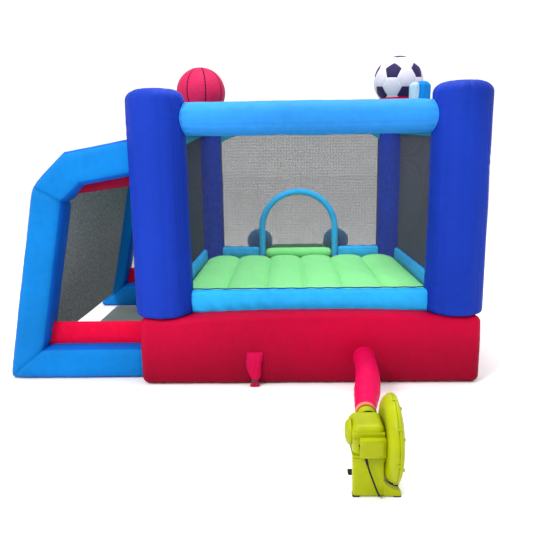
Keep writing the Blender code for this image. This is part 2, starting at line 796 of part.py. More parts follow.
def blower_body():
    half = HOUSING_HALF_X
    low = (BLOWER_X - half, HOUSING_Y[0], STAND_TOP + GAP)
    high = (BLOWER_X + half, HOUSING_Y[1], HOUSING_TOP)
    spare = 0.04
    housing = box("motor_housing", low, (high[0] + spare, *high[1:]), LIME, 0.018)
    wall = BODY_WALL
    room = box(
        "motor_room",
        (low[0] + wall, low[1] + wall, low[2] + wall),
        (high[0] + 2 * spare, high[1] - wall, high[2] - wall),
        rounding=0.014,
    )
    boolean(housing, room)
    open_side = box("housing_open_side", (high[0], -2.5, 0), (high[0] + 3 * spare, -2.0, 0.5))
    boolean(housing, open_side)
    for name, radius, near, far, operation in (
        ("nozzle", NOZZLE_RADIUS, -0.003, NOZZLE_REACH, "UNION"),
        ("nozzle_bore", NOZZLE_RADIUS - NOZZLE_WALL, -0.03, NOZZLE_REACH + 0.01, "DIFFERENCE"),
    ):
        shape = along_y(rod(name, radius, near, far))
        shape.location = (NOZZLE_X, HOUSING_Y[1], NOZZLE_Z)
        boolean(housing, shape, operation)

    cap_profile = [(0, 0.024), (0.034, 0.021), (0.048, 0.010), (0.051, 0.0), (0, 0.0)]
    cap = turned("motor_cap", cap_profile, LIME, 24)
    cap.rotation_euler = (0, math.radians(-90), 0)
    cap.location = (low[0] - GAP, BLOWER_Y + 0.006, BLOWER_Z + 0.022)

    end, body = MOTOR_HALF_LENGTH, MOTOR_HALF_LENGTH - 0.009
    motor_profile = (
        (0, end),
        (MOTOR_RADIUS - 0.012, end),
        (MOTOR_RADIUS, body),
        (MOTOR_RADIUS, -body),
        (MOTOR_RADIUS - 0.012, -end),
        (0, -end),
    )
    motor = along_x(turned("motor", motor_profile, STEEL, 20))
    motor.location = (BLOWER_X - 0.010, BLOWER_Y, BLOWER_Z)
    bore = along_x(rod("shaft_room", SHAFT_RADIUS + GAP, 0.0, 0.1, sides=12))
    bore.location = motor.location
    boolean(motor, bore)


def fan_casing():
    """Two dished shells round the impeller: the back on the housing, and the cover with the air inlet."""
    depth = CASING_X[1] - CASING_X[0]
    wall = CASING_WALL
    back = [
        (CASING_RADIUS - 0.010, depth),
        (CASING_RADIUS - 0.010, depth - 0.012),
        (CASING_RADIUS - 0.022, 0.006),
        (CASING_RADIUS - 0.034, 0.0),
        (0.030, 0.0),
        (0.030, wall),
        (CASING_RADIUS - 0.036, wall),
        (CASING_RADIUS - 0.022 - wall, 0.010),
        (CASING_RADIUS - 0.010 - wall, depth - 0.012),
        (CASING_RADIUS - 0.010 - wall, depth),
    ]
    casing = along_x(turned("fan_casing", back, LIME, 32, closed=True))
    casing.location = (CASING_X[0], BLOWER_Y, BLOWER_Z)

    dome = COVER_DOME
    cover = [
        (INLET_RADIUS, dome),
        (0.118, dome - 0.005),
        (0.154, dome - 0.015),
        (CASING_RADIUS, 0.006),
        (CASING_RADIUS, -0.006),
        (CASING_RADIUS - 0.008, -0.006),
        (CASING_RADIUS - 0.008, 0.003),
        (0.150, dome - 0.020),
        (0.116, dome - 0.011),
        (INLET_RADIUS, dome - 0.006),
    ]
    lid = along_x(turned("inlet_cover", cover, LIME, 32, closed=True))
    lid.location = (CASING_X[1] + GAP, BLOWER_Y, BLOWER_Z)
    add_grille(lid, dome - 0.003)


def add_grille(lid, height):
    """The finger guard moulded into the air inlet: a ring and a hub on spokes."""
    centre = Vector(lid.location) + Vector((height, 0, 0))
    half = GRILLE_THICKNESS / 2
    middle = along_x(band("grille_ring", 0.047, 0.005, GRILLE_THICKNESS))
    hub = along_x(rod("grille_hub", 0.016, -half, half, sides=16))
    reach = INLET_RADIUS + 0.002
    spokes = []
    for number in range(GRILLE_BARS):
        spoke = box(f"grille_spoke_{number}", (-half, -reach, -half), (half, reach, half))
        spoke.rotation_euler = (math.radians(180 / GRILLE_BARS * number + 5), 0, 0)
        spokes.append(spoke)
    for shape in (*spokes, middle, hub):
        shape.location = centre
        boolean(lid, shape, "UNION")


def impeller():
    """The fan wheel and its shaft, which turn together about X."""
    disc_low, disc_high = 0.010, 0.014
    shaft_end = -0.046
    profile = (
        (0, 0.028),
        (0.018, 0.028),
        (0.018, disc_high),
        (IMPELLER_RADIUS, disc_high),
        (IMPELLER_RADIUS, disc_low),
        (SHAFT_RADIUS, disc_low),
        (SHAFT_RADIUS, shaft_end),
        (0, shaft_end),
    )
    wheel = along_x(turned("impeller", profile, BLACK, 12))
    wheel.location = (CASING_X[0], BLOWER_Y, BLOWER_Z)
    half = Vector(BLADE_SIZE) / 2
    lean = Matrix.Rotation(math.radians(BLADE_ANGLE), 4, "X")
    outwards = Matrix.Translation((0, 0, BLADE_MIDDLE_RADIUS))
    middle = Matrix.Translation((CASING_X[0] + disc_high + half.x - 0.002, BLOWER_Y, BLOWER_Z))
    for number in range(IMPELLER_BLADES):
        blade = box(f"impeller_blade_{number}", -half, half)
        turn = Matrix.Rotation(2 * math.pi * number / IMPELLER_BLADES, 4, "X")
        blade.matrix_world = middle @ turn @ outwards @ lean
        boolean(wheel, blade, "UNION")


def control_box():
    """The box with the rocker switch; the mains lead leaves through its underside."""
    low = Vector((BLOWER_X - 0.038, HOUSING_Y[0] - CONTROL_DEPTH, STAND_TOP + 0.012))
    high = Vector((BLOWER_X + HOUSING_HALF_X, HOUSING_Y[0] - GAP, STAND_TOP + 0.088))
    case = box("control_box", low, high, LIME, 0.004, 1)
    pivot = Vector((low.x + 0.001, (low.y + high.y) / 2, (low.z + high.z) / 2))
    width, height = SWITCH_SIZE
    room = Vector((0.01, width / 2 + 0.0005, height / 2 + 0.0025))
    boolean(case, box("switch_pocket", pivot - room, pivot + room))

    tip = height / 2
    outline = ((-0.0030, -tip), (0.0075, -0.0060), (0.0075, 0.0060), (-0.0030, tip), (0.0, 0.0))
    rocker = outline_slab("power_switch", outline, width, BLACK)
    rocker.location = pivot
    rocker.rotation_euler = (math.radians(90), math.radians(SWITCH_REST_ANGLE), 0)

    start = Vector(CORD_EXIT)
    run = Vector(CORD_ROUTE[0]) - start
    length = run.length - GAP
    profile = ((0, 0), (0.0058, 0), (0.0046, -length), (0, -length))
    sleeve = turned("strain_relief", profile, BLACK, 12)
    sleeve.rotation_euler = (-run).to_track_quat("Z", "Y").to_euler()
    sleeve.location = start
    reach = Vector((0.02, 0.02, 0))
    above = box("relief_level", start - reach, start + reach + Vector((0, 0, 0.1)))
    boolean(sleeve, above)


def blower_stand():
    """The hollow foot of the blower, with two toes that reach under the fan casing."""
    half = HOUSING_HALF_X
    low = (BLOWER_X - half, STAND_Y[0], FOOT_HEIGHT - 0.03)
    high = (BLOWER_X + half, STAND_Y[1], STAND_TOP)
    stand = box("blower_stand", low, high, LIME, 0.012)
    wall = BODY_WALL
    room = box(
        "stand_room",
        (low[0] + wall, low[1] + wall, low[2] - 0.02),
        (high[0] - wall, high[1] - wall, high[2] - wall),
        rounding=0.008,
    )
    boolean(stand, room)
    ground = box("stand_ground", (0, low[1] - 0.1, low[2] - 0.1), (0.4, high[1] + 0.1, FOOT_HEIGHT))
    boolean(stand, ground)
    for number, y in enumerate((STAND_Y[0], STAND_Y[1] - TOE_WIDTH)):
        toe = box(
            f"stand_toe_{number}",
            (high[0] - 0.003, y, FOOT_HEIGHT),
            (high[0] + TOE_REACH, y + TOE_WIDTH, FOOT_HEIGHT + TOE_HEIGHT),
            rounding=0.004,
        )
        boolean(stand, toe, "UNION")
    for name, x in (("foot_strip_left", low[0] + 0.001), ("foot_strip_right", high[0] + 0.036)):
        corner = (x + FOOT_WIDTH, STAND_Y[1] - 0.002, FOOT_HEIGHT - GAP)
        box(name, (x, STAND_Y[0] + 0.002, 0.0), corner, BLACK)


def power_lead():
    """The mains lead: the free stretch, the coil that its spare length is wound in, and the plug on it."""
    tube("power_cord", smooth_points(CORD_ROUTE, 2), CORD_RADIUS, BLACK, 2)

    outer, inner = COIL_MEAN_RADIUS + COIL_HALF_WIDTH, COIL_MEAN_RADIUS - COIL_HALF_WIDTH
    low = 0.0005
    profile = ((outer, COIL_HEIGHT), (outer, low), (inner, low), (inner, COIL_HEIGHT))
    coil = turned("cord_coil", profile, BLACK, 24, closed=True)
    coil.location = (*COIL_CENTRE, 0)
    end = Vector(CORD_ROUTE[-1])
    step = (end - Vector(CORD_ROUTE[-2])).normalized()
    half = Vector((0.006, 0.01, 0.006))
    meeting = box("coil_notch", -half, half)
    meeting.rotation_euler = (0, 0, math.atan2(-step.x, step.y))
    meeting.location = end - step * (half.y - GAP)
    boolean(coil, meeting)

    low = COIL_HEIGHT + GAP
    length, width, height = PLUG_SIZE
    plug = box("plug", (0, -width / 2, 0), (length, width / 2, height), BLACK, 0.004)
    turn = Matrix.Translation((*PLUG_PLACE, low)) @ Matrix.Rotation(math.radians(PLUG_TURN), 4, "Z")
    plug.matrix_world = turn @ Matrix.Translation((length / 2, 0, height / 2))
    for number, side in enumerate((-1, 1)):
        middle = side * PIN_SPACING / 2
        pin = box(f"plug_pin_{number}", (-0.009, -0.001, -0.003), (0.009, 0.001, 0.003))
        pin.matrix_world = turn @ Matrix.Translation((length + 0.007, middle, height / 2))
        boolean(plug, pin, "UNION")


base_cushion()
corner_columns()
top_beams()
borders()
bounce_floor()
doorway()
nets()
toppers()
slide()
goal_bay()
inflation_hose()
deflation_sleeve()
blower_body()
fan_casing()
impeller()
control_box()
blower_stand()
power_lead()
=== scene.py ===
import math

import bmesh
import bpy
import numpy as np
from mathutils import Matrix, Vector


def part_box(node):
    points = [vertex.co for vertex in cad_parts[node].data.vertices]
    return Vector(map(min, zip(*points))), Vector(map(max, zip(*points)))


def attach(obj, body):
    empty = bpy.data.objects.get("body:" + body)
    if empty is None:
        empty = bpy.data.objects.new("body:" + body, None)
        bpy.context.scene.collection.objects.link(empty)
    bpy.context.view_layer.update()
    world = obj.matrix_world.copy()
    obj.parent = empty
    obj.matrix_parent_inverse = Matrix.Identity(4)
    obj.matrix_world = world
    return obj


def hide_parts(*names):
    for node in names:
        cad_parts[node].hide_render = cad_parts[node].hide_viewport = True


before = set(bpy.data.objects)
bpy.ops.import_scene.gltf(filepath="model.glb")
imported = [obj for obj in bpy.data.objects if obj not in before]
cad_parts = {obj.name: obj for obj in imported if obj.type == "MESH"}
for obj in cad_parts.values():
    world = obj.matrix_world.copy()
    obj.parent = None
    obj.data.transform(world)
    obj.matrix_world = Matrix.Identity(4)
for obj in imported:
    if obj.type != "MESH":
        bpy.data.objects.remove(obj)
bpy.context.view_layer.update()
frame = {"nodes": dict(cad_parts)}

TAU = 2 * math.pi
HOUSE = "house"


def span(node):
    """Lowest and highest corner of a CAD node."""
    low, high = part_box(node)
    return np.array(low, float), np.array(high, float)


# Camera, light and floor


def camera():
    """A camera in front of the house, a little above its jumping floor, with its lens nearly level."""
    yaw, pitch, roll = 0.018, 0.1925, -0.0135
    ahead = Vector((-math.sin(yaw) * math.cos(pitch), math.cos(yaw) * math.cos(pitch), -math.sin(pitch)))
    right = Vector((math.cos(yaw), math.sin(yaw), 0.0))
    up = right.cross(ahead)
    level_right, level_up = right.copy(), up.copy()
    right = level_right * math.cos(roll) + level_up * math.sin(roll)
    up = level_up * math.cos(roll) - level_right * math.sin(roll)
    data = bpy.data.cameras.new("camera")
    data.lens = 38.87
    data.sensor_width = 36.0
    data.clip_start = 0.05
    data.clip_end = 100.0
    made = bpy.data.objects.new("camera", data)
    turn = Matrix((right, up, -ahead)).transposed().to_4x4()
    made.matrix_world = Matrix.Translation((-0.135, -4.374, 1.286)) @ turn
    bpy.context.scene.collection.objects.link(made)
    bpy.context.scene.camera = made


def area_light(name, place, target, size, power, colour=(1.0, 1.0, 1.0)):
    data = bpy.data.lights.new(name, "AREA")
    data.shape = "DISK"
    data.size = size
    data.energy = power
    data.color = colour
    made = bpy.data.objects.new(name, data)
    made.location = place
    made.rotation_euler = (Vector(target) - Vector(place)).to_track_quat("-Z", "Y").to_euler()
    bpy.context.scene.collection.objects.link(made)


def studio():
    """An even white sky, two soft lamps, and a pale floor."""
    scene = bpy.context.scene
    scene.view_settings.view_transform = "Standard"
    world = bpy.data.worlds.new("studio")
    scene.world = world
    world.use_nodes = True
    background = world.node_tree.nodes["Background"]
    background.inputs["Color"].default_value = (1.0, 1.0, 1.0, 1.0)
    background.inputs["Strength"].default_value = 1.1
    area_light("key", (-3.4, -5.2, 5.0), (0, 0, 0.8), 2.2, 300)
    area_light("top", (0.2, -0.2, 5.6), (0, 0, 0.4), 2.6, 230)

    data = bpy.data.meshes.new("studio_floor")
    far = 40.0
    data.from_pydata([(-far, -far, 0), (far, -far, 0), (far, far, 0), (-far, far, 0)], [], [(0, 1, 2, 3)])
    floor = bpy.data.objects.new("studio_floor", data)
    bpy.context.scene.collection.objects.link(floor)
    pale = bpy.data.materials.new("studio_floor")
    pale.use_nodes = True
    shader = pale.node_tree.nodes["Principled BSDF"]
    shader.inputs["Base Color"].default_value = (0.92, 0.92, 0.92, 1.0)
    shader.inputs["Roughness"].default_value = 0.9
    data.materials.append(pale)


# Materials


def linear(red, green, blue):
    """A colour of 0 to 255 as the shader's linear values."""
    return [((c / 255 + 0.055) / 1.055) ** 2.4 if c > 10 else c / 255 / 12.92 for c in (red, green, blue)]


class Look:
    """A material being built: its nodes, and its Principled shader."""

    def __init__(self, name, roughness, metallic=0.0, **sockets):
        self.material = bpy.data.materials.new(name)
        self.material.use_nodes = True
        self.tree = self.material.node_tree
        self.shader = self.tree.nodes["Principled BSDF"]
        self.shader.inputs["Roughness"].default_value = roughness
        self.shader.inputs["Metallic"].default_value = metallic
        for socket, value in sockets.items():
            self.shader.inputs[socket.replace("_", " ")].default_value = value
        self.place = self.node("ShaderNodeTexCoord").outputs["Object"]

    def node(self, kind, settings=None, **inputs):
        made = self.tree.nodes.new(kind)
        for key, value in (settings or {}).items():
            setattr(made, key, value)
        for key, value in inputs.items():
            socket = made.inputs[key.replace("_", " ")]
            if isinstance(value, bpy.types.NodeSocket):
                self.tree.links.new(value, socket)
            else:
                socket.default_value = value
        return made

    def noise(self, scale, detail=3.0, distortion=0.0, vector=None):
        found = self.node("ShaderNodeTexNoise", Scale=scale, Detail=detail, Distortion=distortion,
                          Vector=vector or self.place)
        return found.outputs["Fac"]

    def waves(self, scale, direction, distortion=0.0):
        found = self.node("ShaderNodeTexWave", {"wave_type": "BANDS", "bands_direction": direction},
                          Scale=scale, Distortion=distortion, Vector=self.place)
        return found.outputs["Fac"]

    def maths(self, operation, first, second):
        made = self.tree.nodes.new("ShaderNodeMath")
        made.operation = operation
        for socket, value in zip(made.inputs, (first, second)):
            if isinstance(value, bpy.types.NodeSocket):
                self.tree.links.new(value, socket)
            else:
                socket.default_value = value
        return made.outputs[0]

    def ramp(self, value, stops):
        """A colour ramp from (position, colour) stops."""
        made = self.node("ShaderNodeValToRGB", Fac=value)
        ramp = made.color_ramp
        while len(ramp.elements) < len(stops):
            ramp.elements.new(0.5)
        for element, (position, colour) in zip(ramp.elements, stops):
            element.position = position
            element.color = (*(min(1.0, c) for c in colour), 1.0)
        return made.outputs["Color"]

    def colour(self, socket):
        self.tree.links.new(socket, self.shader.inputs["Base Color"])

    def rough(self, value, low, high):
        made = self.node("ShaderNodeMapRange", Value=value, To_Min=low, To_Max=high)
        self.tree.links.new(made.outputs["Result"], self.shader.inputs["Roughness"])

    def bump(self, layers):
        """Bumps over each other, from (height socket, strength, distance)."""
        normal = None
        for height, strength, distance in layers:
            made = self.node("ShaderNodeBump", Height=height, Strength=strength, Distance=distance)
            if normal:
                self.tree.links.new(normal, made.inputs["Normal"])
            normal = made.outputs["Normal"]
        self.tree.links.new(normal, self.shader.inputs["Normal"])


# The dye is deeper than the colour that the bright studio light makes of it
FABRIC_DEPTH = 0.61


def times(colour, factor):
    return [c * factor for c in colour]


def coated_fabric(name, colour, deep=0.80, bright=1.14, crease=0.35, roughness=0.5, foot=None):
    """Tightly woven polyester with a thin coating: a fine weave and soft creases.

    foot is (height, share): painted shade that darkens the colour to that share of itself from the height down to the
    ground.
    """
    colour = times(colour, FABRIC_DEPTH)
    look = Look(name, roughness, Specular_IOR_Level=0.06)
    shade = look.maths("ADD", look.maths("MULTIPLY", look.noise(1.7, 2.0), 0.75),
                       look.maths("MULTIPLY", look.noise(26.0, 2.0), 0.25))
    dyed = look.ramp(shade, ((0.30, times(colour, deep)), (0.52, colour), (0.72, times(colour, bright))))
    # Painted shade near the ground: the colour darkens from the given height down.
    if foot:
        height, least = foot
        upwards = look.node("ShaderNodeSeparateXYZ", Vector=look.place).outputs["Z"]
        ground_shade = look.node("ShaderNodeMapRange", Value=upwards, From_Max=height, To_Min=least).outputs["Result"]
        dyed = look.node("ShaderNodeVectorMath", {"operation": "SCALE"}, Vector=dyed, Scale=ground_shade).outputs["Vector"]
    look.colour(dyed)
    weave = look.maths("ADD", look.maths("ADD", look.waves(140.0, "X"), look.waves(140.0, "Y")),
                       look.waves(140.0, "Z"))
    look.rough(look.noise(9.0, 3.0), roughness - 0.07, roughness + 0.12)
    look.bump((
        (weave, 0.35, 0.0005),
        (look.noise(7.0, 3.0, 0.7), crease, 0.010),
        (look.noise(34.0, 2.0, 0.4), crease * 0.5, 0.002),
    ))
    return look.material


def moulded_plastic(name, colour, roughness=0.32, grain=0.10):
    """Moulded plastic with a fine grain, faint flow marks and rubbed, duller patches."""
    look = Look(name, roughness, Specular_IOR_Level=0.12, Coat_Weight=0.03, Coat_Roughness=0.25)
    look.colour(look.ramp(look.noise(12.0, 3.0), ((0.30, times(colour, 0.84)), (0.65, colour))))
    look.rough(look.noise(22.0, 3.0, 0.5), roughness - 0.06, roughness + 0.16)
    look.bump(((look.noise(900.0, 2.0), grain, 0.0004), (look.noise(14.0, 2.0), 0.08, 0.004)))
    return look.material


def net_thread(name, colour):
    look = Look(name, 0.75, Sheen_Weight=0.2)
    look.colour(look.ramp(look.noise(60.0, 2.0), ((0.3, times(colour, 0.6)), (0.7, times(colour, 1.3)))))
    look.bump(((look.noise(1400.0, 2.0), 0.3, 0.0004),))
    return look.material


def webbing(name, colour):
    """Ribbed strap webbing."""
    look = Look(name, 0.62, Sheen_Weight=0.3)
    look.colour(look.ramp(look.noise(220.0, 2.0), ((0.3, times(colour, 0.75)), (0.7, times(colour, 1.1)))))
    ribs = look.maths("ADD", look.waves(260.0, "Y"), look.waves(90.0, "Z"))
    look.bump(((ribs, 0.6, 0.0008),))
    return look.material


def metal(name, colour, roughness):
    look = Look(name, roughness, 1.0)
    look.colour(look.ramp(look.noise(40.0, 3.0), ((0.3, times(colour, 0.8)), (0.7, colour))))
    look.rough(look.noise(160.0, 2.0), roughness - 0.08, roughness + 0.15)
    look.bump(((look.waves(220.0, "X"), 0.08, 0.0004),))
    return look.material


def make_materials():
    return {
        "column": coated_fabric("dark_blue_fabric", linear(24, 62, 190)),
        "beam": coated_fabric("bright_blue_fabric", times(linear(52, 156, 246), 1.12)),
        "frame": coated_fabric("frame_blue_fabric", times(linear(10, 140, 232), 1.04)),
        "border": coated_fabric("sky_blue_fabric", times(linear(44, 180, 252), 1.24), crease=0.55),
        # Painted light: the rail blue is lifted close to the top of the range to make up for the shade and net in
        # front of the rails.
        "rail": coated_fabric("slide_rail_painted_light_fabric", [0.11, 0.72, 1.55]),
        "piping": coated_fabric("blue_piping", linear(14, 60, 170)),
        # Painted shade: foot darkens the base's colour towards the ground.
        "base": coated_fabric("red_base_fabric", times(linear(206, 0, 58), 1.10), crease=0.45, foot=(0.34, 0.48)),
        "band": coated_fabric("red_band_fabric", times(linear(230, 0, 58), 1.30)),
        "tube": coated_fabric("red_sleeve_fabric", linear(236, 8, 86), crease=0.6),
        "floor": coated_fabric("green_fabric", [0.39, 1.22, 0.44], deep=0.90, bright=1.06),
        "basketball": coated_fabric("crimson_ball_fabric", linear(216, 40, 94)),
        "seam": coated_fabric("dark_seam_fabric", linear(84, 22, 50)),
        "white": coated_fabric("white_ball_fabric", times(linear(226, 224, 242), 1.1), deep=0.92, bright=1.0),
        "patch": coated_fabric("dark_ball_fabric", linear(58, 48, 96)),
        # Painted highlight: this pale blue marks the highlight on the beam peg's left side.
        "pale": coated_fabric("painted_highlight_blue_fabric", linear(190, 226, 250)),
        "net": net_thread("dark_net_thread", [0.020, 0.021, 0.028]),
        "side_net": net_thread("side_net_thread", [0.012, 0.017, 0.050]),
        "pale_net": net_thread("pale_net_thread", [0.225, 0.262, 0.252]),
        "ground": coated_fabric("grey_ground_cloth", [0.36, 0.43, 0.41], crease=0.6, roughness=0.8),
        "sheer": net_thread("sheer_net_thread", [0.07, 0.07, 0.08]),
        "lime": moulded_plastic("lime_plastic", times(linear(190, 200, 0), 0.62)),
        "black": moulded_plastic("black_plastic", [0.018, 0.018, 0.019], 0.45),
        "rubber": moulded_plastic("black_rubber", [0.012, 0.012, 0.012], 0.62, 0.25),
        "strap": webbing("orange_webbing", times(linear(226, 116, 4), 0.8)),
        "thread": webbing("black_tie_cord", [0.012, 0.012, 0.014]),
        "steel": metal("motor_steel", [0.45, 0.46, 0.48], 0.36),
        "screw": metal("screw_steel", [0.62, 0.62, 0.60], 0.28),
        # Darker copy of the frame fabric for the members' side faces: painted shade.
        "frame_painted_shade_side": coated_fabric("frame_side_fabric", times(linear(8, 108, 224), 1.05)),
        "web": coated_fabric("web_fabric", linear(40, 168, 214)),
        # Darker copy of the red band fabric for the upper bands: painted shade.
        "band_painted_shade": coated_fabric("red_band_painted_shade", linear(165, 8, 56)),
    }


# Tools for shapes


def ripple(points, size, seed, count=6):
    """Smooth unevenness of -1 to 1 at each point, from waves about size long."""
    chance = np.random.default_rng(seed)
    total = np.zeros(len(points))
    for _ in range(count):
        direction = chance.normal(size=3)
        direction /= np.linalg.norm(direction)
        total += np.sin(points @ direction * TAU / size * chance.uniform(0.6, 1.6) + chance.uniform(0, TAU))
    return total / count


def ease(value):
    value = np.clip(value, 0.0, 1.0)
    return value * value * (3 - 2 * value)


def mesh(name, points, faces, kinds=None, merge=1e-6):
    """A smooth mesh with its faces turned outwards. kinds has each face's material, and merge joins close points."""
    data = bpy.data.meshes.new(name)
    data.from_pydata(np.asarray(points, float).tolist(), [], [tuple(f) for f in faces])
    if kinds is not None:
        data.polygons.foreach_set("material_index", np.array(kinds, np.int32))
    shape = bmesh.new()
    shape.from_mesh(data)
    if merge:
        bmesh.ops.remove_doubles(shape, verts=shape.verts, dist=merge)
    bmesh.ops.recalc_face_normals(shape, faces=shape.faces)
    shape.to_mesh(data)
    shape.free()
    data.polygons.foreach_set("use_smooth", np.ones(len(data.polygons), bool))
    return data


def piece(name, data, materials, nodes=()):
    """A new object on the house, in place of the CAD nodes that it stands for."""
    made = bpy.data.objects.new(name, data)
    bpy.context.scene.collection.objects.link(made)
    for material in materials if isinstance(materials, (list, tuple)) else [materials]:
        data.materials.append(material)
    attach(made, HOUSE)
    if nodes:
        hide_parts(*nodes)
    return made


def shaped(name, shape, materials, nodes=()):
    """A piece made from the points and faces of shape."""
    return piece(name, mesh(name, *shape), materials, nodes)


def skin(rings, closed=True, ends=True):
    """Points and faces of a surface over rings of points, round or open, with its ends closed or not."""
    rings = np.asarray(rings, float)
    count, sides = rings.shape[:2]
    points = rings.reshape(-1, 3)
    faces = []
    for i in range(count - 1):
        for j in range(sides if closed else sides - 1):
            k = (j + 1) % sides
            faces.append((i * sides + j, i * sides + k, (i + 1) * sides + k, (i + 1) * sides + j))
    if ends:
        middles = [rings[0].mean(axis=0), rings[-1].mean(axis=0)]
        points = np.vstack([points, middles])
        for which, first in enumerate((0, (count - 1) * sides)):
            for j in range(sides):
                faces.append((first + j, first + (j + 1) % sides, count * sides + which))
    return points, faces


def join(parts):
    """One set of points and faces from several."""
    points, faces, first = [], [], 0
    for more, their_faces in parts:
        more = np.asarray(more, float)
        points.append(more)
        faces += [tuple(first + i for i in face) for face in their_faces]
        first += len(more)
    return np.vstack(points), faces


def circle(sides, start=0.0):
    angles = start + np.arange(sides) * TAU / sides
    return np.stack([np.cos(angles), np.sin(angles)], axis=1)


def level_ring(x, y, z, radii, turn):
    """A level ring at height z round (x, y), of a radius for each angle."""
    return np.column_stack([x + radii * np.cos(turn), y + radii * np.sin(turn), np.full(len(turn), z)])


def turned(profile, centre, axis="Z", sides=64):
    """Rings of a profile of (radius, height) turned about an axis through centre."""
    ring = circle(sides)
    rings = []
    for radius, height in profile:
        flat = np.column_stack([ring * radius, np.full(sides, height)])
        if axis == "X":
            flat = flat[:, [2, 0, 1]]
        elif axis == "Y":
            flat = flat[:, [1, 2, 0]]
        rings.append(flat + np.asarray(centre, float))
    return np.array(rings)


def smooth_line(points, steps):
    """Points of a Catmull-Rom curve through the given ones."""
    given = [np.array(p, float) for p in points]
    knots = [2 * given[0] - given[1]] + given + [2 * given[-1] - given[-2]]
    found = []
    for a, b, c, d in zip(knots, knots[1:], knots[2:], knots[3:]):
        for step in range(steps):
            t = step / steps
            bend = t * t * (2 * a - 5 * b + 4 * c - d) + t ** 3 * (3 * b - a - 3 * c + d)
            found.append((2 * b + t * (c - a) + bend) / 2)
    return np.array(found + [knots[-2]])


def distances(line):
    """How far along a line each of its points lies."""
    return np.concatenate([[0], np.cumsum(np.linalg.norm(np.diff(line, axis=0), axis=1))])


def apart(angles, place):
    """Each angle's difference from a place, by the short way round."""
    return np.angle(np.exp(1j * (angles - place)))


def evenly(line, step):
    """The same line with its points about a step apart."""
    line = np.asarray(line, float)
    along = distances(line)
    at = np.linspace(0, along[-1], max(2, math.ceil(along[-1] / step) + 1))
    return np.stack([np.interp(at, along, line[:, k]) for k in range(3)], axis=1)


def tube_rings(line, radius, sides=12, side_hint=(0.0, 0.0, 1.0), section=None):
    """Rings round a line. radius is a number or one for each point, and section a unit outline."""
    line = np.asarray(line, float)
    heading = np.gradient(line, axis=0)
    heading /= np.linalg.norm(heading, axis=1)[:, None]
    across = np.cross(heading[0], side_hint)
    if np.linalg.norm(across) < 1e-6:
        across = np.cross(heading[0], (1.0, 0.0, 0.0))
    across /= np.linalg.norm(across)
    outline = circle(sides) if section is None else np.asarray(section)
    radius = np.broadcast_to(np.asarray(radius, float), (len(line),))
    rings = []
    for point, ahead, size in zip(line, heading, radius):
        across = across - ahead * across.dot(ahead)
        across /= np.linalg.norm(across)
        up = np.cross(across, ahead)
        rings.append(point + size * (outline[:, :1] * across + outline[:, 1:] * up))
    return np.array(rings)


def thin_tube(line, radius, sides=8):
    return skin(tube_rings(line, radius, sides))


def hoop(ring, radius, sides=6):
    """A thin tube along a closed ring of points."""
    return thin_tube(np.vstack([ring, ring[:1]]), radius, sides)


def grid_lines(half, radius, step, steps=5):
    """Places along one side of a rounded box, closer together where it rounds."""
    turn = [math.tan(math.radians(45 * i / steps)) * radius for i in range(1, steps + 1)]
    flat = half - radius
    count = max(2, round(2 * flat / step))
    middle = np.linspace(-flat, flat, count + 1)
    return np.concatenate([[-flat - t for t in reversed(turn)], middle, [flat + t for t in turn]])


def box_surface(xs, ys, zs):
    """Points and faces all over a box, on the given lines."""
    index, points, faces = {}, [], []

    def at(i, j, k):
        if (i, j, k) not in index:
            index[i, j, k] = len(points)
            points.append((xs[i], ys[j], zs[k]))
        return index[i, j, k]

    nx, ny, nz = len(xs) - 1, len(ys) - 1, len(zs) - 1
    for i in range(nx):
        for j in range(ny):
            for k in (0, nz):
                faces.append((at(i, j, k), at(i + 1, j, k), at(i + 1, j + 1, k), at(i, j + 1, k)))
    for i in range(nx):
        for k in range(nz):
            for j in (0, ny):
                faces.append((at(i, j, k), at(i + 1, j, k), at(i + 1, j, k + 1), at(i, j, k + 1)))
    for j in range(ny):
        for k in range(nz):
            for i in (0, nx):
                faces.append((at(i, j, k), at(i, j + 1, k), at(i, j + 1, k + 1), at(i, j, k + 1)))
    return np.array(points), faces


def cushion(low, high, radius, step, bulge=(0, 0, 0), pitch=0.05, depth=0.003, width=0.04, seed=1,
            uneven=0.002):
    """An air-filled box: rounded edges, crowned faces, and the puckers of its edge seams."""
    low, high = np.asarray(low, float), np.asarray(high, float)
    half, middle = (high - low) / 2, (high + low) / 2
    flat, faces = box_surface(*(grid_lines(h, radius, step) for h in half))
    core = np.clip(flat, radius - half, half - radius)
    normal = flat - core
    normal /= np.linalg.norm(normal, axis=1)[:, None]
    points = core + radius * normal
    room = half - np.abs(flat)
    to_edge = np.sort(room, axis=1)[:, 1]
    along = np.take_along_axis(flat, np.argmax(room, axis=1)[:, None], 1)[:, 0]
    fold = 0.5 + 0.5 * np.sin(TAU * along / pitch + 3.0 * ripple(flat, 0.45, seed))
    pinch = depth * fold * (0.65 + 0.6 * ripple(flat, 0.3, seed + 1)) * np.exp(-to_edge / width)
    share = np.clip(np.abs(core) / np.maximum(half - radius, 1e-6), 0, 1)
    crown = np.zeros(len(points))
    for axis in range(3):
        others = [k for k in range(3) if k != axis]
        rise = (1 - share[:, others[0]] ** 2) * (1 - share[:, others[1]] ** 2)
        crown += bulge[axis] * rise * np.abs(normal[:, axis])
    points = points + normal * (crown - pinch + uneven * ripple(flat, 0.5, seed + 2))[:, None]
    return points + middle, faces


def rounded_box(low, high, radius, step=0.010):
    """A plain hard box with rounded edges."""
    return cushion(low, high, radius, step, depth=0, uneven=0)


def rounded_section(sides, power):
    """A unit outline between a circle and a square."""
    c, s = circle(sides).T
    return np.column_stack([np.sign(c) * np.abs(c) ** (2 / power), np.sign(s) * np.abs(s) ** (2 / power)])


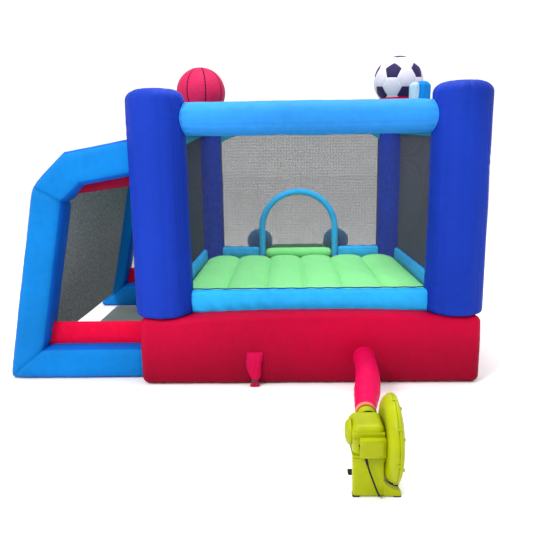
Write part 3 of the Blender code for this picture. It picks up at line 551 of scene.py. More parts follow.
def stitched_seam(line, pitch=0.006, length=0.0035, radius=0.0007, sides=5):
    """Short stitches along a line."""
    line = evenly(line, pitch)
    parts = []
    for a, b in zip(line, line[1:]):
        share = length / max(np.linalg.norm(b - a), 1e-9)
        end = a + (b - a) * share
        parts.append(skin(tube_rings(np.array([a, (a + end) / 2, end]), radius, sides)))
    return join(parts)


# Cords

CORD_ROUTE = (
    (0.1612, -2.3056, 0.1757),
    (0.1643, -2.3060, 0.1620),
    (0.1680, -2.3065, 0.1480),
    (0.1765, -2.3085, 0.1200),
    (0.1870, -2.3102, 0.0900),
    (0.1980, -2.3105, 0.0600),
    (0.2075, -2.3075, 0.0350),
    (0.2150, -2.2990, 0.0165),
    (0.2205, -2.2830, 0.0068),
    (0.2250, -2.2560, 0.0040),
    (0.2290, -2.2000, 0.0038),
    (0.2310, -2.1500, 0.0038),
    (0.2340, -2.1000, 0.0038),
    (0.2420, -2.0550, 0.0038),
    (0.2560, -2.0150, 0.0038),
    (0.2720, -1.9800, 0.0038),
)
CORD_DIAMETER = 0.007
COIL_CENTRE = (0.252, -1.915)
# Each turn of the coil goes from one of these lanes to the next: radius, height
COIL_LANES = (
    (0.0457, 0.0038),
    (0.0385, 0.0038),
    (0.0313, 0.0038),
    (0.0313, 0.0107),
    (0.0385, 0.0107),
    (0.0457, 0.0107),
)
COIL_START = -28
COIL_TURN_POINTS = 36
PLUG_LANE = (0.0385, 0.0245)
PLUG_ANGLE = 62


def power_lead(looks):
    """The mains lead: down from the control box, back along the floor, and wound into a tied coil."""
    points = [tuple(p) for p in smooth_line(CORD_ROUTE, 2)[:-1]]

    def on_coil(angle, lane):
        angle = math.radians(angle)
        return (COIL_CENTRE[0] + lane[0] * math.cos(angle), COIL_CENTRE[1] + lane[0] * math.sin(angle), lane[1])

    def between(first, second, share):
        share = float(ease(share))
        return [a + (b - a) * share for a, b in zip(first, second)]

    for lane, following in zip(COIL_LANES, COIL_LANES[1:]):
        for step in range(COIL_TURN_POINTS):
            share = step / COIL_TURN_POINTS
            points.append(on_coil(COIL_START + 360 * share, between(lane, following, (share - 0.45) / 0.55)))
    last_steps = 14
    for step in range(last_steps + 1):
        share = step / last_steps
        angle = COIL_START + (PLUG_ANGLE - COIL_START) * share
        points.append(on_coil(angle, between(COIL_LANES[-1], PLUG_LANE, share)))

    data = bpy.data.curves.new("power_lead", "CURVE")
    data.dimensions = "3D"
    data.bevel_depth = CORD_DIAMETER / 2
    data.bevel_resolution = 3
    data.use_fill_caps = True
    spline = data.splines.new("POLY")
    spline.points.add(len(points) - 1)
    for point, place in zip(spline.points, points):
        point.co = (*place, 1.0)
    spline.use_smooth = True
    lead = bpy.data.objects.new("power_lead", data)
    bpy.context.scene.collection.objects.link(lead)
    data.materials.append(looks["rubber"])
    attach(lead, HOUSE)
    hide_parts("power_cord", "cord_coil")

    angle = math.radians(200)
    out = np.array([math.cos(angle), math.sin(angle), 0.0])
    centre = np.array([*COIL_CENTRE, 0.0])
    loops = []
    for turn in range(2):
        side = np.array([-out[1], out[0], 0.0]) * (turn - 0.5) * 0.0032
        corners = []
        for share in np.linspace(0, TAU, 40):
            across = np.sign(math.cos(share)) * abs(math.cos(share)) ** 0.5 * 0.0118
            rise = np.sign(math.sin(share)) * abs(math.sin(share)) ** 0.5 * 0.0072
            corners.append(centre + side + out * (0.0385 + across) + np.array([0, 0, 0.0082 + rise]))
        loops.append(thin_tube(corners, 0.0011, 6))
    knot = turned([(0.0001, -0.003), (0.0024, -0.002), (0.0030, 0), (0.0024, 0.002), (0.0001, 0.003)],
                  centre + out * 0.0385 + np.array([0, 0, 0.0166]), "X", 12)
    tie = shaped("coil_tie", join(loops + [skin(knot, ends=False)]), looks["thread"])


HOSE_RADIUS = 0.0600
HOSE_NECK_RADIUS = 0.0405
HOSE_START = (0.192, -2.075, 0.249)
HOSE_NECK_END = (0.192, -2.045, 0.249)
HOSE_END = (0.31, -1.1103, 0.165)
STRAP_Y = -2.062


def bezier(start, first, second, end, steps):
    """Points from start to end, left towards start + first and reached from end + second."""
    start, end = np.array(start, float), np.array(end, float)
    t = np.linspace(0, 1, steps)[:, None]
    left, right = start + first, end + second
    return (1 - t) ** 3 * start + 3 * (1 - t) ** 2 * t * left + 3 * (1 - t) * t * t * right + t ** 3 * end


def air_hose(looks):
    """The red fabric sleeve from the blower's nozzle to the base: gathered in the strap, full behind it."""
    line = np.vstack([
        bezier(HOSE_START, (0, 0.010, 0), (0, -0.010, 0), HOSE_NECK_END, 20)[:-1],
        bezier(HOSE_NECK_END, (0.050, 0.300, -0.006), (-0.012, -0.340, 0), HOSE_END, 260),
    ])
    line = evenly(line, 0.004)
    along = distances(line)
    total = along[-1]
    sides = 96
    rings = tube_rings(line, 1.0, sides)
    middle = rings.mean(axis=1)
    spokes = rings - middle[:, None, :]
    angle = np.tile(np.arange(sides) * TAU / sides, len(line))
    place = np.repeat(along, sides)
    filled = ease((place + 0.06) / 0.42) * ease((place - 0.016) / 0.05)
    width = HOSE_NECK_RADIUS + (HOSE_RADIUS - HOSE_NECK_RADIUS) * filled
    slack = np.sin(TAU * place / 0.075 + 1.3 * np.sin(angle + 2.0) + 2.2 * np.sin(place * 9.0))
    fine = np.sin(TAU * place / 0.031 + 2.4 * np.sin(2 * angle + place * 20))
    gathers = np.cos(14 * angle + 3 * np.sin(3 * angle))
    at_strap = np.exp(-np.abs(place - (STRAP_Y - HOSE_START[1])) / 0.040)
    at_base = np.exp(-(total - place) / 0.035)
    radius = width * (
        1 + 0.012 * slack + 0.005 * fine + 0.014 * np.sin(2 * angle + 1.0 + 3.0 * place)
        - 0.020 * at_strap + 0.026 * at_strap * gathers + 0.020 * at_base * (gathers - 0.6)
    )
    rings = middle[:, None, :] + spokes * radius.reshape(len(line), sides)[:, :, None]
    lip = middle[0] + (rings[0] - middle[0]) * 0.90
    rings = np.concatenate([lip[None] + np.array([0, 0.002, 0]), rings])
    hose = shaped("air_hose", skin(rings, ends=False), looks["tube"], ["inflation_hose"])

    x, z = HOSE_START[0], HOSE_START[2]
    inside, outside = 0.0405, 0.0440
    band = turned([(inside, -0.0130), (outside - 0.0006, -0.0129), (outside, -0.0121), (outside + 0.0004, -0.006),
                   (outside + 0.0004, 0.006), (outside, 0.0121), (outside - 0.0006, 0.0129), (inside, 0.0130)],
                  (x, STRAP_Y, z), "Y", 96)
    strap = shaped("nozzle_strap", skin(band, ends=False), looks["strap"], ["hose_strap"])
    buckle = rounded_box((x - 0.013, STRAP_Y - 0.0140, z - 0.0490), (x + 0.013, STRAP_Y + 0.0140, z - 0.0425),
                         0.002, 0.004)
    clasp = shaped("strap_buckle", buckle, looks["black"])
    centre = np.array(HOSE_END) + (0, -0.001, 0)
    rim = HOSE_RADIUS
    flange = turned([(rim, 0.000), (rim + 0.016, 0.001), (rim + 0.0175, -0.002), (rim + 0.016, -0.0045),
                     (rim + 0.006, -0.0050), (rim + 0.002, -0.0085), (rim, -0.016), (rim - 0.0025, -0.016)],
                    centre, "Y", 96)
    stitches = [(centre[0] + (rim + 0.012) * math.cos(a), centre[1] - 0.0046, centre[2] + (rim + 0.012) * math.sin(a))
                for a in np.linspace(0, TAU, 60)]
    inlet = piece("inlet_flange", mesh("inlet_flange", *join([skin(flange, ends=False), stitched_seam(stitches)])),
                  looks["tube"])


# Room


def base(looks):
    """The base cushion: puckered edges, soft upright folds, and a front edge that rises in the middle."""
    low, high = span("base_cushion")
    points, faces = cushion(low, high, 0.044, 0.024, (0.013, 0.012, 0.0), pitch=0.062, depth=0.0035, width=0.05,
                            seed=3, uneven=0.0022)
    x, y, z = points.T
    lip = np.clip(1 - (x / 0.70) ** 2, 0, 1) ** 0.6
    at_front = ease((-0.93 - y) / 0.06) * ease((z - 0.20) / 0.18)
    z = z + 0.026 * lip * at_front
    upright = ease((0.40 - z) / 0.12)
    folds = ripple(np.column_stack([x * 1.0, y, z * 0.35]), 0.13, 8)
    out = np.sign(y) * (np.abs(y) > 1.05)
    y = y + out * 0.0030 * folds * upright
    out = np.sign(x) * (np.abs(x) > 0.92)
    x = x + out * 0.0030 * folds * upright
    z = np.maximum(z, 0.0008)
    shaped("base_cushion_soft", (np.column_stack([x, y, z]), faces), looks["base"], ["base_cushion"])


# The full width of a column, a little over its plainer solid
COLUMN_RADIUS = 0.165
COLUMN_X = 0.85
COLUMN_Y = 0.96
FRONT_BEAM_RADIUS = 0.092
FRONT_BEAM_Y = -0.945
FRONT_BEAM_Z = 1.512
SIDE_BEAM_RADIUS = 0.085
REAR_BEAM_RADIUS = 0.070
REAR_BEAM_Y = 0.95
REAR_BEAM_Z = 1.575
PLEATS = 13
# The doorway's net, arch and curtain share this middle, the height where the arch springs, and this plane
DOOR_X = -0.015
DOOR_SPRING = 0.676
DOOR_Y = 0.94


def scattered_folds(chance, count, angle, away, widest, longest):
    """Lengthways folds at random places round a column, which run out away from its end."""
    total = np.zeros(len(angle))
    for _ in range(count):
        at, wide, deep, long = (chance.uniform(0, TAU), chance.uniform(0.05, widest), chance.uniform(0.4, 1.0),
                                chance.uniform(0.02, longest))
        total += deep * np.exp(-(apart(angle, at) / wide) ** 2) * np.exp(-away / long)
    return total


def columns(looks):
    """Corner columns: shallow panels, rounded tops with a few gathers, and puckers round each beam's seam."""
    sides = 210
    for number, (place, side_x, side_y) in enumerate((
        ("front_left", -1, -1), ("front_right", 1, -1), ("rear_left", -1, 1), ("rear_right", 1, 1),
    )):
        chance = np.random.default_rng(200 + number)
        low, high = span(f"column_{place}")
        if place == "front_right":
            high[2] += 0.018
        centre = (low + high) / 2
        radius, foot = COLUMN_RADIUS, 0.020
        flat_radius, dome = 0.085, 0.007
        shoulder = radius - flat_radius
        profile = [(0.02, low[2] + 0.002), (0.07, low[2] + 0.002), (0.11, low[2] + 0.002)]
        for a in np.linspace(-90, 0, 7):
            profile.append((radius - foot + foot * math.cos(math.radians(a)),
                            low[2] + foot + foot * math.sin(math.radians(a))))
        straight_top = high[2] - dome - 0.062
        profile += [(radius, z) for z in np.linspace(low[2] + foot, straight_top, 110)[1:-1]]
        for a in np.linspace(0, 90, 16):
            profile.append((flat_radius + shoulder * math.cos(math.radians(a)),
                            straight_top + 0.062 * math.sin(math.radians(a))))
        profile += [(r, high[2] - dome * (r / flat_radius) ** 2) for r in (0.07, 0.055, 0.04, 0.025, 0.01)]
        rings = turned(profile, (0, 0, 0), "Z", sides)
        flat = rings.reshape(-1, 3)
        angle = np.arctan2(flat[:, 1], flat[:, 0])
        reach = np.hypot(flat[:, 0], flat[:, 1])
        z = flat[:, 2]
        outward = np.stack([np.cos(angle), np.sin(angle), np.zeros(len(flat))], axis=1)

        panel = TAU / 10
        turn_in_panel = (angle + number) % panel - panel / 2
        push = -0.0036 * (turn_in_panel / (panel / 2)) ** 2 * ease((reach - 0.10) / 0.05)
        below_top = np.maximum(straight_top - z, 0)
        gathers = scattered_folds(chance, 15, angle + 0.4 * (z - high[2]), below_top, 0.10, 0.07)
        gathers *= ease((reach - 0.05) / 0.05)
        push = push - 0.0040 * np.minimum(gathers, 1.4)
        foot_gathers = scattered_folds(chance, 16, angle, z - low[2], 0.11, 0.09)
        push = push - 0.0020 * np.minimum(foot_gathers, 1.4) * ease((reach - 0.10) / 0.04)
        for seam_angle in (45, 135, 225, 315):
            from_seam = apart(angle, math.radians(seam_angle)) * reach
            push = push - 0.0020 * np.exp(-(from_seam / 0.007) ** 2) * (z > low[2] + 0.02) * (reach > 0.12)
        creases = ripple(np.column_stack([flat[:, 0] * 0.22, flat[:, 1] * 0.22, z]), 0.040, 90 + number)
        where = ease(ripple(flat + 3 * number, 0.5, 95 + number) * 2.2) * ease((straight_top - z) / 0.2)
        push = push + 0.0026 * creases * where * (reach > 0.15)
        if side_y < 0:
            inward = np.maximum(-side_x * outward[:, 0], 0.0)
            push = push + 0.009 * inward * ease((0.95 - z) / 0.5) * ease((reach - 0.10) / 0.04)
        push = push + 0.0024 * ripple(flat + number, 0.34, 20 + number)
        front = side_y < 0
        beams = (
            ((-side_x, 0.0), (FRONT_BEAM_Y if front else REAR_BEAM_Y) - centre[1],
             FRONT_BEAM_RADIUS if front else REAR_BEAM_RADIUS),
            ((0.0, -side_y), 0.0, SIDE_BEAM_RADIUS),
        )
        beam_z = FRONT_BEAM_Z if front else REAR_BEAM_Z
        for (ahead_x, ahead_y), offset, beam_radius in beams:
            ahead = flat[:, 0] * ahead_x + flat[:, 1] * ahead_y
            across = (flat[:, 1] - offset) if ahead_x else flat[:, 0]
            away = np.hypot(across, z - beam_z)
            turn = np.arctan2(z - beam_z, across)
            near = np.exp(-np.maximum(away - beam_radius, 0) / 0.026) * (ahead > 0)
            push = push - (0.0030 * near + 0.0026 * near * np.cos(PLEATS * turn)) * (away > beam_radius * 0.8)
        flat = flat + outward * push[:, None]
        flat[:, 2] -= 0.0030 * np.minimum(gathers, 1.4) * (z > straight_top) * ease((reach - 0.05) / 0.04)
        flat[:, :2] += centre[:2]
        shaped(f"column_{place}_soft", skin(flat.reshape(len(profile), sides, 3)), looks["column"],
               [f"column_{place}"])


def beam(node, looks, beam_radius, start, end, column_ends, seed):
    """A top beam between two columns, gathered where it is sewn into them, with piping in the seam."""
    start, end = np.array(start, float), np.array(end, float)
    length = np.linalg.norm(end - start)
    ahead = (end - start) / length
    across = np.array([-ahead[1], ahead[0], 0.0])
    across /= np.linalg.norm(across)
    up = np.cross(ahead, across)
    sides = 96
    turn = np.arange(sides) * TAU / sides

    def seam_places(turns):
        """How far along the beam its surface meets each column."""
        found = []
        for k, column in enumerate(column_ends):
            offset = np.dot(np.array(column) - start, across)
            room = np.sqrt(np.maximum(COLUMN_RADIUS ** 2 - (beam_radius * np.cos(turns) - offset) ** 2, 0))
            found.append(np.dot(np.array(column) - start, ahead) + (room if k == 0 else -room))
        return found

    limits = seam_places(turn)
    inside = 0.03
    rings = []
    for share in np.linspace(0, 1, round(length / 0.012)):
        along = (limits[0] - inside) * (1 - share) + (limits[1] + inside) * share
        from_end = np.minimum(along - limits[0], limits[1] - along)
        near = np.exp(-np.maximum(from_end, 0) / 0.030)
        radius = beam_radius + 0.0025 * math.sin(math.pi * share)
        radius = radius - near * 0.0050 - 0.0026 * near * np.cos(PLEATS * turn)
        spoke = np.outer(np.cos(turn), across) + np.outer(np.sin(turn), up)
        ring = start + np.outer(along, ahead) + spoke * radius[:, None]
        change = 0.0024 * ripple(ring, 0.30, seed) + 0.0012 * ripple(ring, 0.09, seed + 50)
        for at in (205, 25):
            from_seam = apart(turn, math.radians(at)) * beam_radius
            change -= 0.0020 * np.exp(-(from_seam / 0.006) ** 2)
            change -= 0.0012 * np.exp(-np.abs(from_seam) / 0.016) * (0.5 + 0.5 * np.sin(TAU * along / 0.04))
        rings.append(ring + spoke * change[:, None])
    shaped(f"{node}_soft", skin(rings), looks["beam"], [node])

    fine = np.linspace(0, TAU, 90)
    spoke = np.outer(np.cos(fine), across) + np.outer(np.sin(fine), up)
    pipes = []
    for along in seam_places(fine):
        pipes.append(thin_tube(start + np.outer(along, ahead) + spoke * beam_radius * 0.975, 0.0034, 6))
    shaped(f"{node}_piping", join(pipes), looks["beam"])


def beams(looks):
    """The four top beams of the room."""
    x, y = COLUMN_X, COLUMN_Y
    for node, radius, beam_y, z, column_y, seed in (
        ("front_beam", FRONT_BEAM_RADIUS, FRONT_BEAM_Y, FRONT_BEAM_Z, -y, 31),
        ("rear_beam", REAR_BEAM_RADIUS, REAR_BEAM_Y, REAR_BEAM_Z, y, 32),
    ):
        beam(node, looks, radius, (-x, beam_y, z), (x, beam_y, z), ((-x, column_y, z), (x, column_y, z)), seed)
    for side, node in ((-1, "left_beam"), (1, "right_beam")):
        ends = (side * x, -y, FRONT_BEAM_Z), (side * x, y, REAR_BEAM_Z)
        beam(node, looks, SIDE_BEAM_RADIUS, *ends, ends, 33 + side)


def gussets(looks):
    """Small arched webs that brace the beams on their columns."""
    rear, side = REAR_BEAM_Z - REAR_BEAM_RADIUS, FRONT_BEAM_Z - SIDE_BEAM_RADIUS + 0.003
    for name, root, way, long, drop, hollow, under in (
        ("rear_left", (-0.715, REAR_BEAM_Y - 0.01), (1, 0), 0.26, 0.085, 2.0, rear),
        ("rear_right", (0.715, REAR_BEAM_Y - 0.01), (-1, 0), 0.16, 0.080, 2.0, rear),
        ("front_left", (-0.845, -0.82), (0, 1), 1.60, 0.112, 1.0, side),
        ("front_right", (0.845, -0.82), (0, 1), 1.60, 0.032, 1.0, side),
    ):
        rings = []
        for share in np.linspace(-0.03 / long, 1, round(24 + 40 * long)):
            x = root[0] + way[0] * long * share
            y = root[1] + way[1] * long * share
            rise = way[1] * (REAR_BEAM_Z - FRONT_BEAM_Z) * long * share / (2 * COLUMN_Y)
            top = under + 0.012 + rise
            low = under + rise - 0.004 - drop * (1 - max(share, 0.0)) ** hollow
            thick = 0.014 * (1 - 0.4 * share)
            ring = []
            for a in np.linspace(0, TAU, 24, endpoint=False):
                aside = thick * math.cos(a) * (1 + 0.25 * math.sin(share * long * 80 + a))
                ring.append((x + way[1] * aside, y + way[0] * aside, (top + low) / 2 + (top - low) / 2 * math.sin(a)))
            rings.append(ring)
        shaped(f"corner_web_{name}", skin(rings), looks["web"])


def border(name, looks, low, high, seed, welt_at, slack=0.0):
    """A low padded wall round the floor, with a welt along its top. slack wrinkles its left part more."""
    low, high = np.array(low, float), np.array(high, float)
    low[2] += 0.001
    long_axis = int(np.argmax(high - low))
    thin_axis = 1 - long_axis
    bulge = [0.0, 0.0, 0.004]
    bulge[thin_axis] = 0.007
    points, faces = cushion(low, high, 0.024, 0.013, bulge, pitch=0.048, depth=0.0034, width=0.022, seed=seed,
                            uneven=0.0016)
    lean = points[:, long_axis] + 0.7 * (points[:, 2] - low[2])
    crease = np.sin(TAU * lean / 0.11 + 2.2 * ripple(points, 0.5, seed + 7))
    deep = 0.0018 + slack * ease((-0.1 - points[:, 0]) / 0.5)
    points[:, thin_axis] += deep * crease * np.sign(points[:, thin_axis] - (low + high)[thin_axis] / 2)
    shaped(f"{name}_soft", (points, faces), looks["border"], [name])
    line = []
    for along in np.linspace(low[long_axis] + 0.004, high[long_axis] - 0.004, 120):
        spot = np.zeros(3)
        spot[long_axis] = along
        spot[thin_axis] = welt_at + 0.0012 * math.sin(along * 31)
        spot[2] = high[2] + 0.0024 + 0.0010 * math.sin(along * 57 + 1)
        line.append(spot)
    shaped(f"{name}_welt", thin_tube(line, 0.0036, 7), looks["piping"])


def borders(looks):
    """The five borders, which reach a little into the columns."""
    into = 0.055
    low, high = span("front_border")
    border("front_border", looks, (low[0] - into, low[1], low[2]), (high[0] + into, high[1], high[2]), 41,
           FRONT_BEAM_Y, slack=0.0030)
    for number, name in enumerate(("left_border", "right_border")):
        low, high = span(name)
        border(name, looks, (low[0], low[1] - into, low[2]), (high[0], high[1] + into, high[2]), 42 + number,
               0.85 * (2 * number - 1))
    low, high = span("rear_border_left")
    border("rear_border_left", looks, (low[0] - into, low[1], low[2]), high, 44, DOOR_Y)
    low, high = span("rear_border_right")
    border("rear_border_right", looks, low, (high[0] + into, high[1], high[2]), 45, DOOR_Y)


FLOOR_RIDGES = 6


def jumping_floor(looks):
    """Air channels side by side: deep sewn valleys with puckers across them, full crests, closed ends."""
    low, high = span("bounce_floor")
    seam_z, crest_z = 0.410, 0.4465
    across, along = 241, 150
    xs = np.linspace(low[0], high[0], across)
    ys = np.linspace(low[1], high[1], along)
    x, y = np.meshgrid(xs, ys, indexing="ij")
    spot = np.column_stack([x.ravel(), y.ravel(), np.zeros(x.size)])
    pitch = (high[0] - low[0]) / FLOOR_RIDGES
    share = ((x - low[0]) / pitch) % 1.0
    to_seam = np.minimum(share, 1 - share) * pitch
    arch = (1 - np.abs(2 * share - 1) ** 2.6) ** 0.62
    ends = np.clip(np.minimum(y - low[1], high[1] - y) / 0.05, 0, 1)
    arch = arch * (1 - (1 - ends) ** 2.4) ** 0.5
    number = np.floor((x - low[0]) / pitch)
    fold = np.sin(TAU * y / 0.052 + 1.8 * ripple(spot, 0.35, 50).reshape(x.shape) * 3 + number * 1.7)
    pinch = 0.0042 * (0.5 + 0.5 * fold) * np.exp(-to_seam / 0.034) * arch
    z = seam_z + (crest_z - seam_z) * arch - pinch + 0.0018 * ripple(spot, 0.30, 51).reshape(x.shape) * arch
    z[0, :] = z[-1, :] = seam_z - 0.004
    top = np.stack([x, y, z], axis=2)
    rings = []
    for i in range(across):
        row = top[i]
        floor_row = row[::-1].copy()
        floor_row[:, 2] = low[2] + 0.0006
        rings.append(np.vstack([row, floor_row[[0, -1]]]))
    shaped("jumping_floor", skin(rings, ends=True), looks["floor"], ["bounce_floor"])

    seams = []
    for number in range(1, FLOOR_RIDGES):
        at = low[0] + number * pitch
        line = [(at, y, seam_z + 0.0012) for y in np.linspace(low[1] + 0.04, high[1] - 0.04, 150)]
        seams.append(thin_tube(line, 0.0016, 5))
    shaped("floor_seams", join(seams), looks["floor"])


# Nets


def inside_spans(outline, along, at):
    """Where a line at one coordinate runs inside an outline: pairs of the other coordinate."""
    found = []
    other = 1 - along
    for a, b in zip(outline, outline[1:] + outline[:1]):
        if (a[other] <= at) != (b[other] <= at):
            share = (at - a[other]) / (b[other] - a[other])
            found.append(a[along] + share * (b[along] - a[along]))
    found.sort()
    return list(zip(found[::2], found[1::2]))


NET_PITCH = 0.005
NET_THREAD = 0.00217


def net(name, node, outline, place, looks, pitch=NET_PITCH, thread=NET_THREAD, normal="Y", billow=0.006,
        look="net", seed=1):
    """Knitted netting: crossing threads clipped to an outline, pushed out a little in the middle.
    """
    outline = [tuple(p) for p in outline]
    box = np.array(outline)
    low, high = box.min(axis=0), box.max(axis=0)
    segment = 0.09
    offsets = np.array([(1, 0), (0, 1), (-1, 0), (0, -1)]) * thread / 2
    points, faces = [], []
    first = 0
    for along in (0, 1):
        other = 1 - along
        count = int((high[other] - low[other]) / pitch)
        start = low[other] + ((high[other] - low[other]) - (count - 1) * pitch) / 2
        lift = (along - 0.5) * thread * 0.8
        for line in range(count):
            at = start + line * pitch
            for begin, finish in inside_spans(outline, along, at):
                if finish - begin < 2 * thread:
                    continue
                steps = max(2, math.ceil((finish - begin) / segment) + 1)
                flat = np.zeros((steps, 2))
                flat[:, along] = np.linspace(begin, finish, steps)
                flat[:, other] = at
                rel = (flat - low) / (high - low)
                arc = np.sin(math.pi * np.clip(rel, 0, 1))
                out = billow * (arc[:, 0] * arc[:, 1])
                out = out + 0.35 * billow * np.sin(rel[:, 0] * 9 + seed) * np.sin(rel[:, 1] * 6 + seed * 2)
                ring = np.zeros((steps, 4, 3))
                for k, (sideways, outwards) in enumerate(offsets):
                    ring[:, k, along] = flat[:, along]
                    ring[:, k, other] = flat[:, other] + sideways
                    ring[:, k, 2] = out + outwards + lift
                points.append(ring.reshape(-1, 3))
                for ring_first in range(first, first + 4 * (steps - 1), 4):
                    for j in range(4):
                        k = (j + 1) % 4
                        faces.append((ring_first + j, ring_first + k, ring_first + 4 + k, ring_first + 4 + j))
                faces.append((first + 3, first + 2, first + 1, first))
                last = first + 4 * (steps - 1)
                faces.append((last, last + 1, last + 2, last + 3))
                first += 4 * steps
    points = np.vstack(points)
    across, up, out = points.T
    if normal == "Y":
        points = np.column_stack([across, place + out, up])
    else:
        points = np.column_stack([place + out, across, up])
    data = bpy.data.meshes.new(name)
    data.from_pydata(points.tolist(), [], faces)
    made = piece(name, data, looks[look], [node] if node else ())
    return made


def door_outline(reach):
    """The half circle of the doorway's arch, from right to left."""
    return [(DOOR_X + reach * math.cos(a), DOOR_SPRING + reach * math.sin(a)) for a in np.linspace(0, math.pi, 33)]


def nets(looks):
    """The four net walls of the room."""
    tuck = 0.02
    low, high = span("front_net")
    left, right, bottom = low[0] - tuck, high[0] + tuck, low[2] - 0.01
    top = FRONT_BEAM_Z - FRONT_BEAM_RADIUS + tuck
    net("net_front", "front_net", ((left, bottom), (right, bottom), (right, top), (left, top)),
        FRONT_BEAM_Y, looks, 0.004, 0.00034, look="sheer", billow=-0.006)
    low, high = span("rear_net")
    left, right, bottom = low[0] - tuck, high[0] + tuck, low[2] - 0.01
    top = REAR_BEAM_Z - REAR_BEAM_RADIUS + tuck
    reach = 0.340
    outline = [(left, bottom), (left, top), (right, top), (right, bottom), (DOOR_X + reach, bottom)]
    outline += door_outline(reach) + [(DOOR_X - reach, bottom)]
    net("net_rear", "rear_net", outline, DOOR_Y, looks, seed=2, billow=0.005)
    rise = SIDE_BEAM_RADIUS - tuck
    for side, node in ((-1, "left_net"), (1, "right_net")):
        low, high = span(node)
        front, rear, bottom = low[1] - 0.015, high[1] + 0.015, low[2] - 0.01
        outline = ((front, bottom), (rear, bottom), (rear, REAR_BEAM_Z - rise), (front, FRONT_BEAM_Z - rise))
        net(f"net_{node[:-4]}", node, outline, side * COLUMN_X, looks, normal="X", seed=4 + side,
            billow=side * 0.007, look="side_net")


# Doorway and toppers


def doorway(looks):
    """The doorway's arched tube, the mesh flap in it, and the roll across its threshold."""
    centre_x, spring, y = DOOR_X, DOOR_SPRING, DOOR_Y
    reach, radius = 0.325, 0.028
    inside, curtain_foot = reach - 0.012, 0.470
    curtain = door_outline(inside) + [(centre_x - inside, curtain_foot), (centre_x + inside, curtain_foot)]
    net("door_curtain", None, curtain, y, looks, seed=6, billow=0.003)
    low = 0.402
    line = [(centre_x - reach, y, z) for z in np.linspace(low, spring, 24)[:-1]]
    line += [(centre_x - reach * math.cos(a), y, spring + reach * math.sin(a)) for a in np.linspace(0, math.pi, 90)]
    line += [(centre_x + reach, y, z) for z in np.linspace(spring, low, 24)[1:]]
    line = evenly(line, 0.006)
    sides = 28
    rings = tube_rings(line, radius, sides, (0, 1, 0))
    middle = rings.mean(axis=1)
    spokes = rings - middle[:, None]
    turn = np.tile(np.arange(sides) * TAU / sides, (len(line), 1))
    along = np.arange(len(line))[:, None] * 0.006
    height = middle[:, 2][:, None]
    bend = ease((height - spring) / 0.1)
    inner = 0.5 - 0.5 * spokes_towards(spokes, middle, (centre_x, y, spring))
    crease = (0.5 + 0.5 * np.sin(TAU * along / 0.034 + 0.6 * np.sin(turn))) ** 2
    scale = 1 - 0.11 * crease * inner * (0.25 + 0.75 * bend) + 0.02 * np.sin(TAU * along / 0.11 + turn)
    scale = scale * (1 - 0.15 * np.exp(-np.minimum(along, along[-1] - along) / 0.02))
    rings = middle[:, None] + spokes * scale[:, :, None]
    shaped("door_arch_soft", skin(rings), looks["border"], ["door_arch"])

    low, high = span("threshold_roll")
    count = 90
    line = np.column_stack([np.linspace(low[0] - 0.004, high[0] + 0.004, count), np.full(count, 0.96),
                            np.full(count, (low[2] + high[2]) / 2)])
    sides = 56
    radius = 0.053
    share = np.linspace(-1, 1, count)
    profile = radius * (1 - np.abs(share) ** 14) ** 0.5
    profile[[0, -1]] = 0.012
    rings = tube_rings(line, profile, sides)
    middle = rings.mean(axis=1)
    turn = np.tile(np.arange(sides) * TAU / sides, (count, 1))
    near = np.exp(-(1 - np.abs(share)) * 0.297 / 0.03)[:, None]
    scale = 1 - 0.07 * near * (0.5 + 0.5 * np.cos(15 * turn)) + 0.012 * np.sin(share[:, None] * 13 + 2 * turn)
    rings = middle[:, None] + (rings - middle[:, None]) * scale[:, :, None]
    shaped("threshold_roll_soft", skin(rings), looks["floor"], ["threshold_roll"])


def spokes_towards(spokes, middle, centre):
    """How far each spoke of a tube points to a centre: 1 straight away from it, -1 straight to it."""
    away = middle - np.array(centre, float)
    away /= np.linalg.norm(away, axis=1)[:, None]
    unit = spokes / np.linalg.norm(spokes, axis=2)[:, :, None]
    return (unit * away[:, None]).sum(axis=2)


BALL_RADIUS = 0.209
GORES = 8
FIRST_SEAM = 288.6


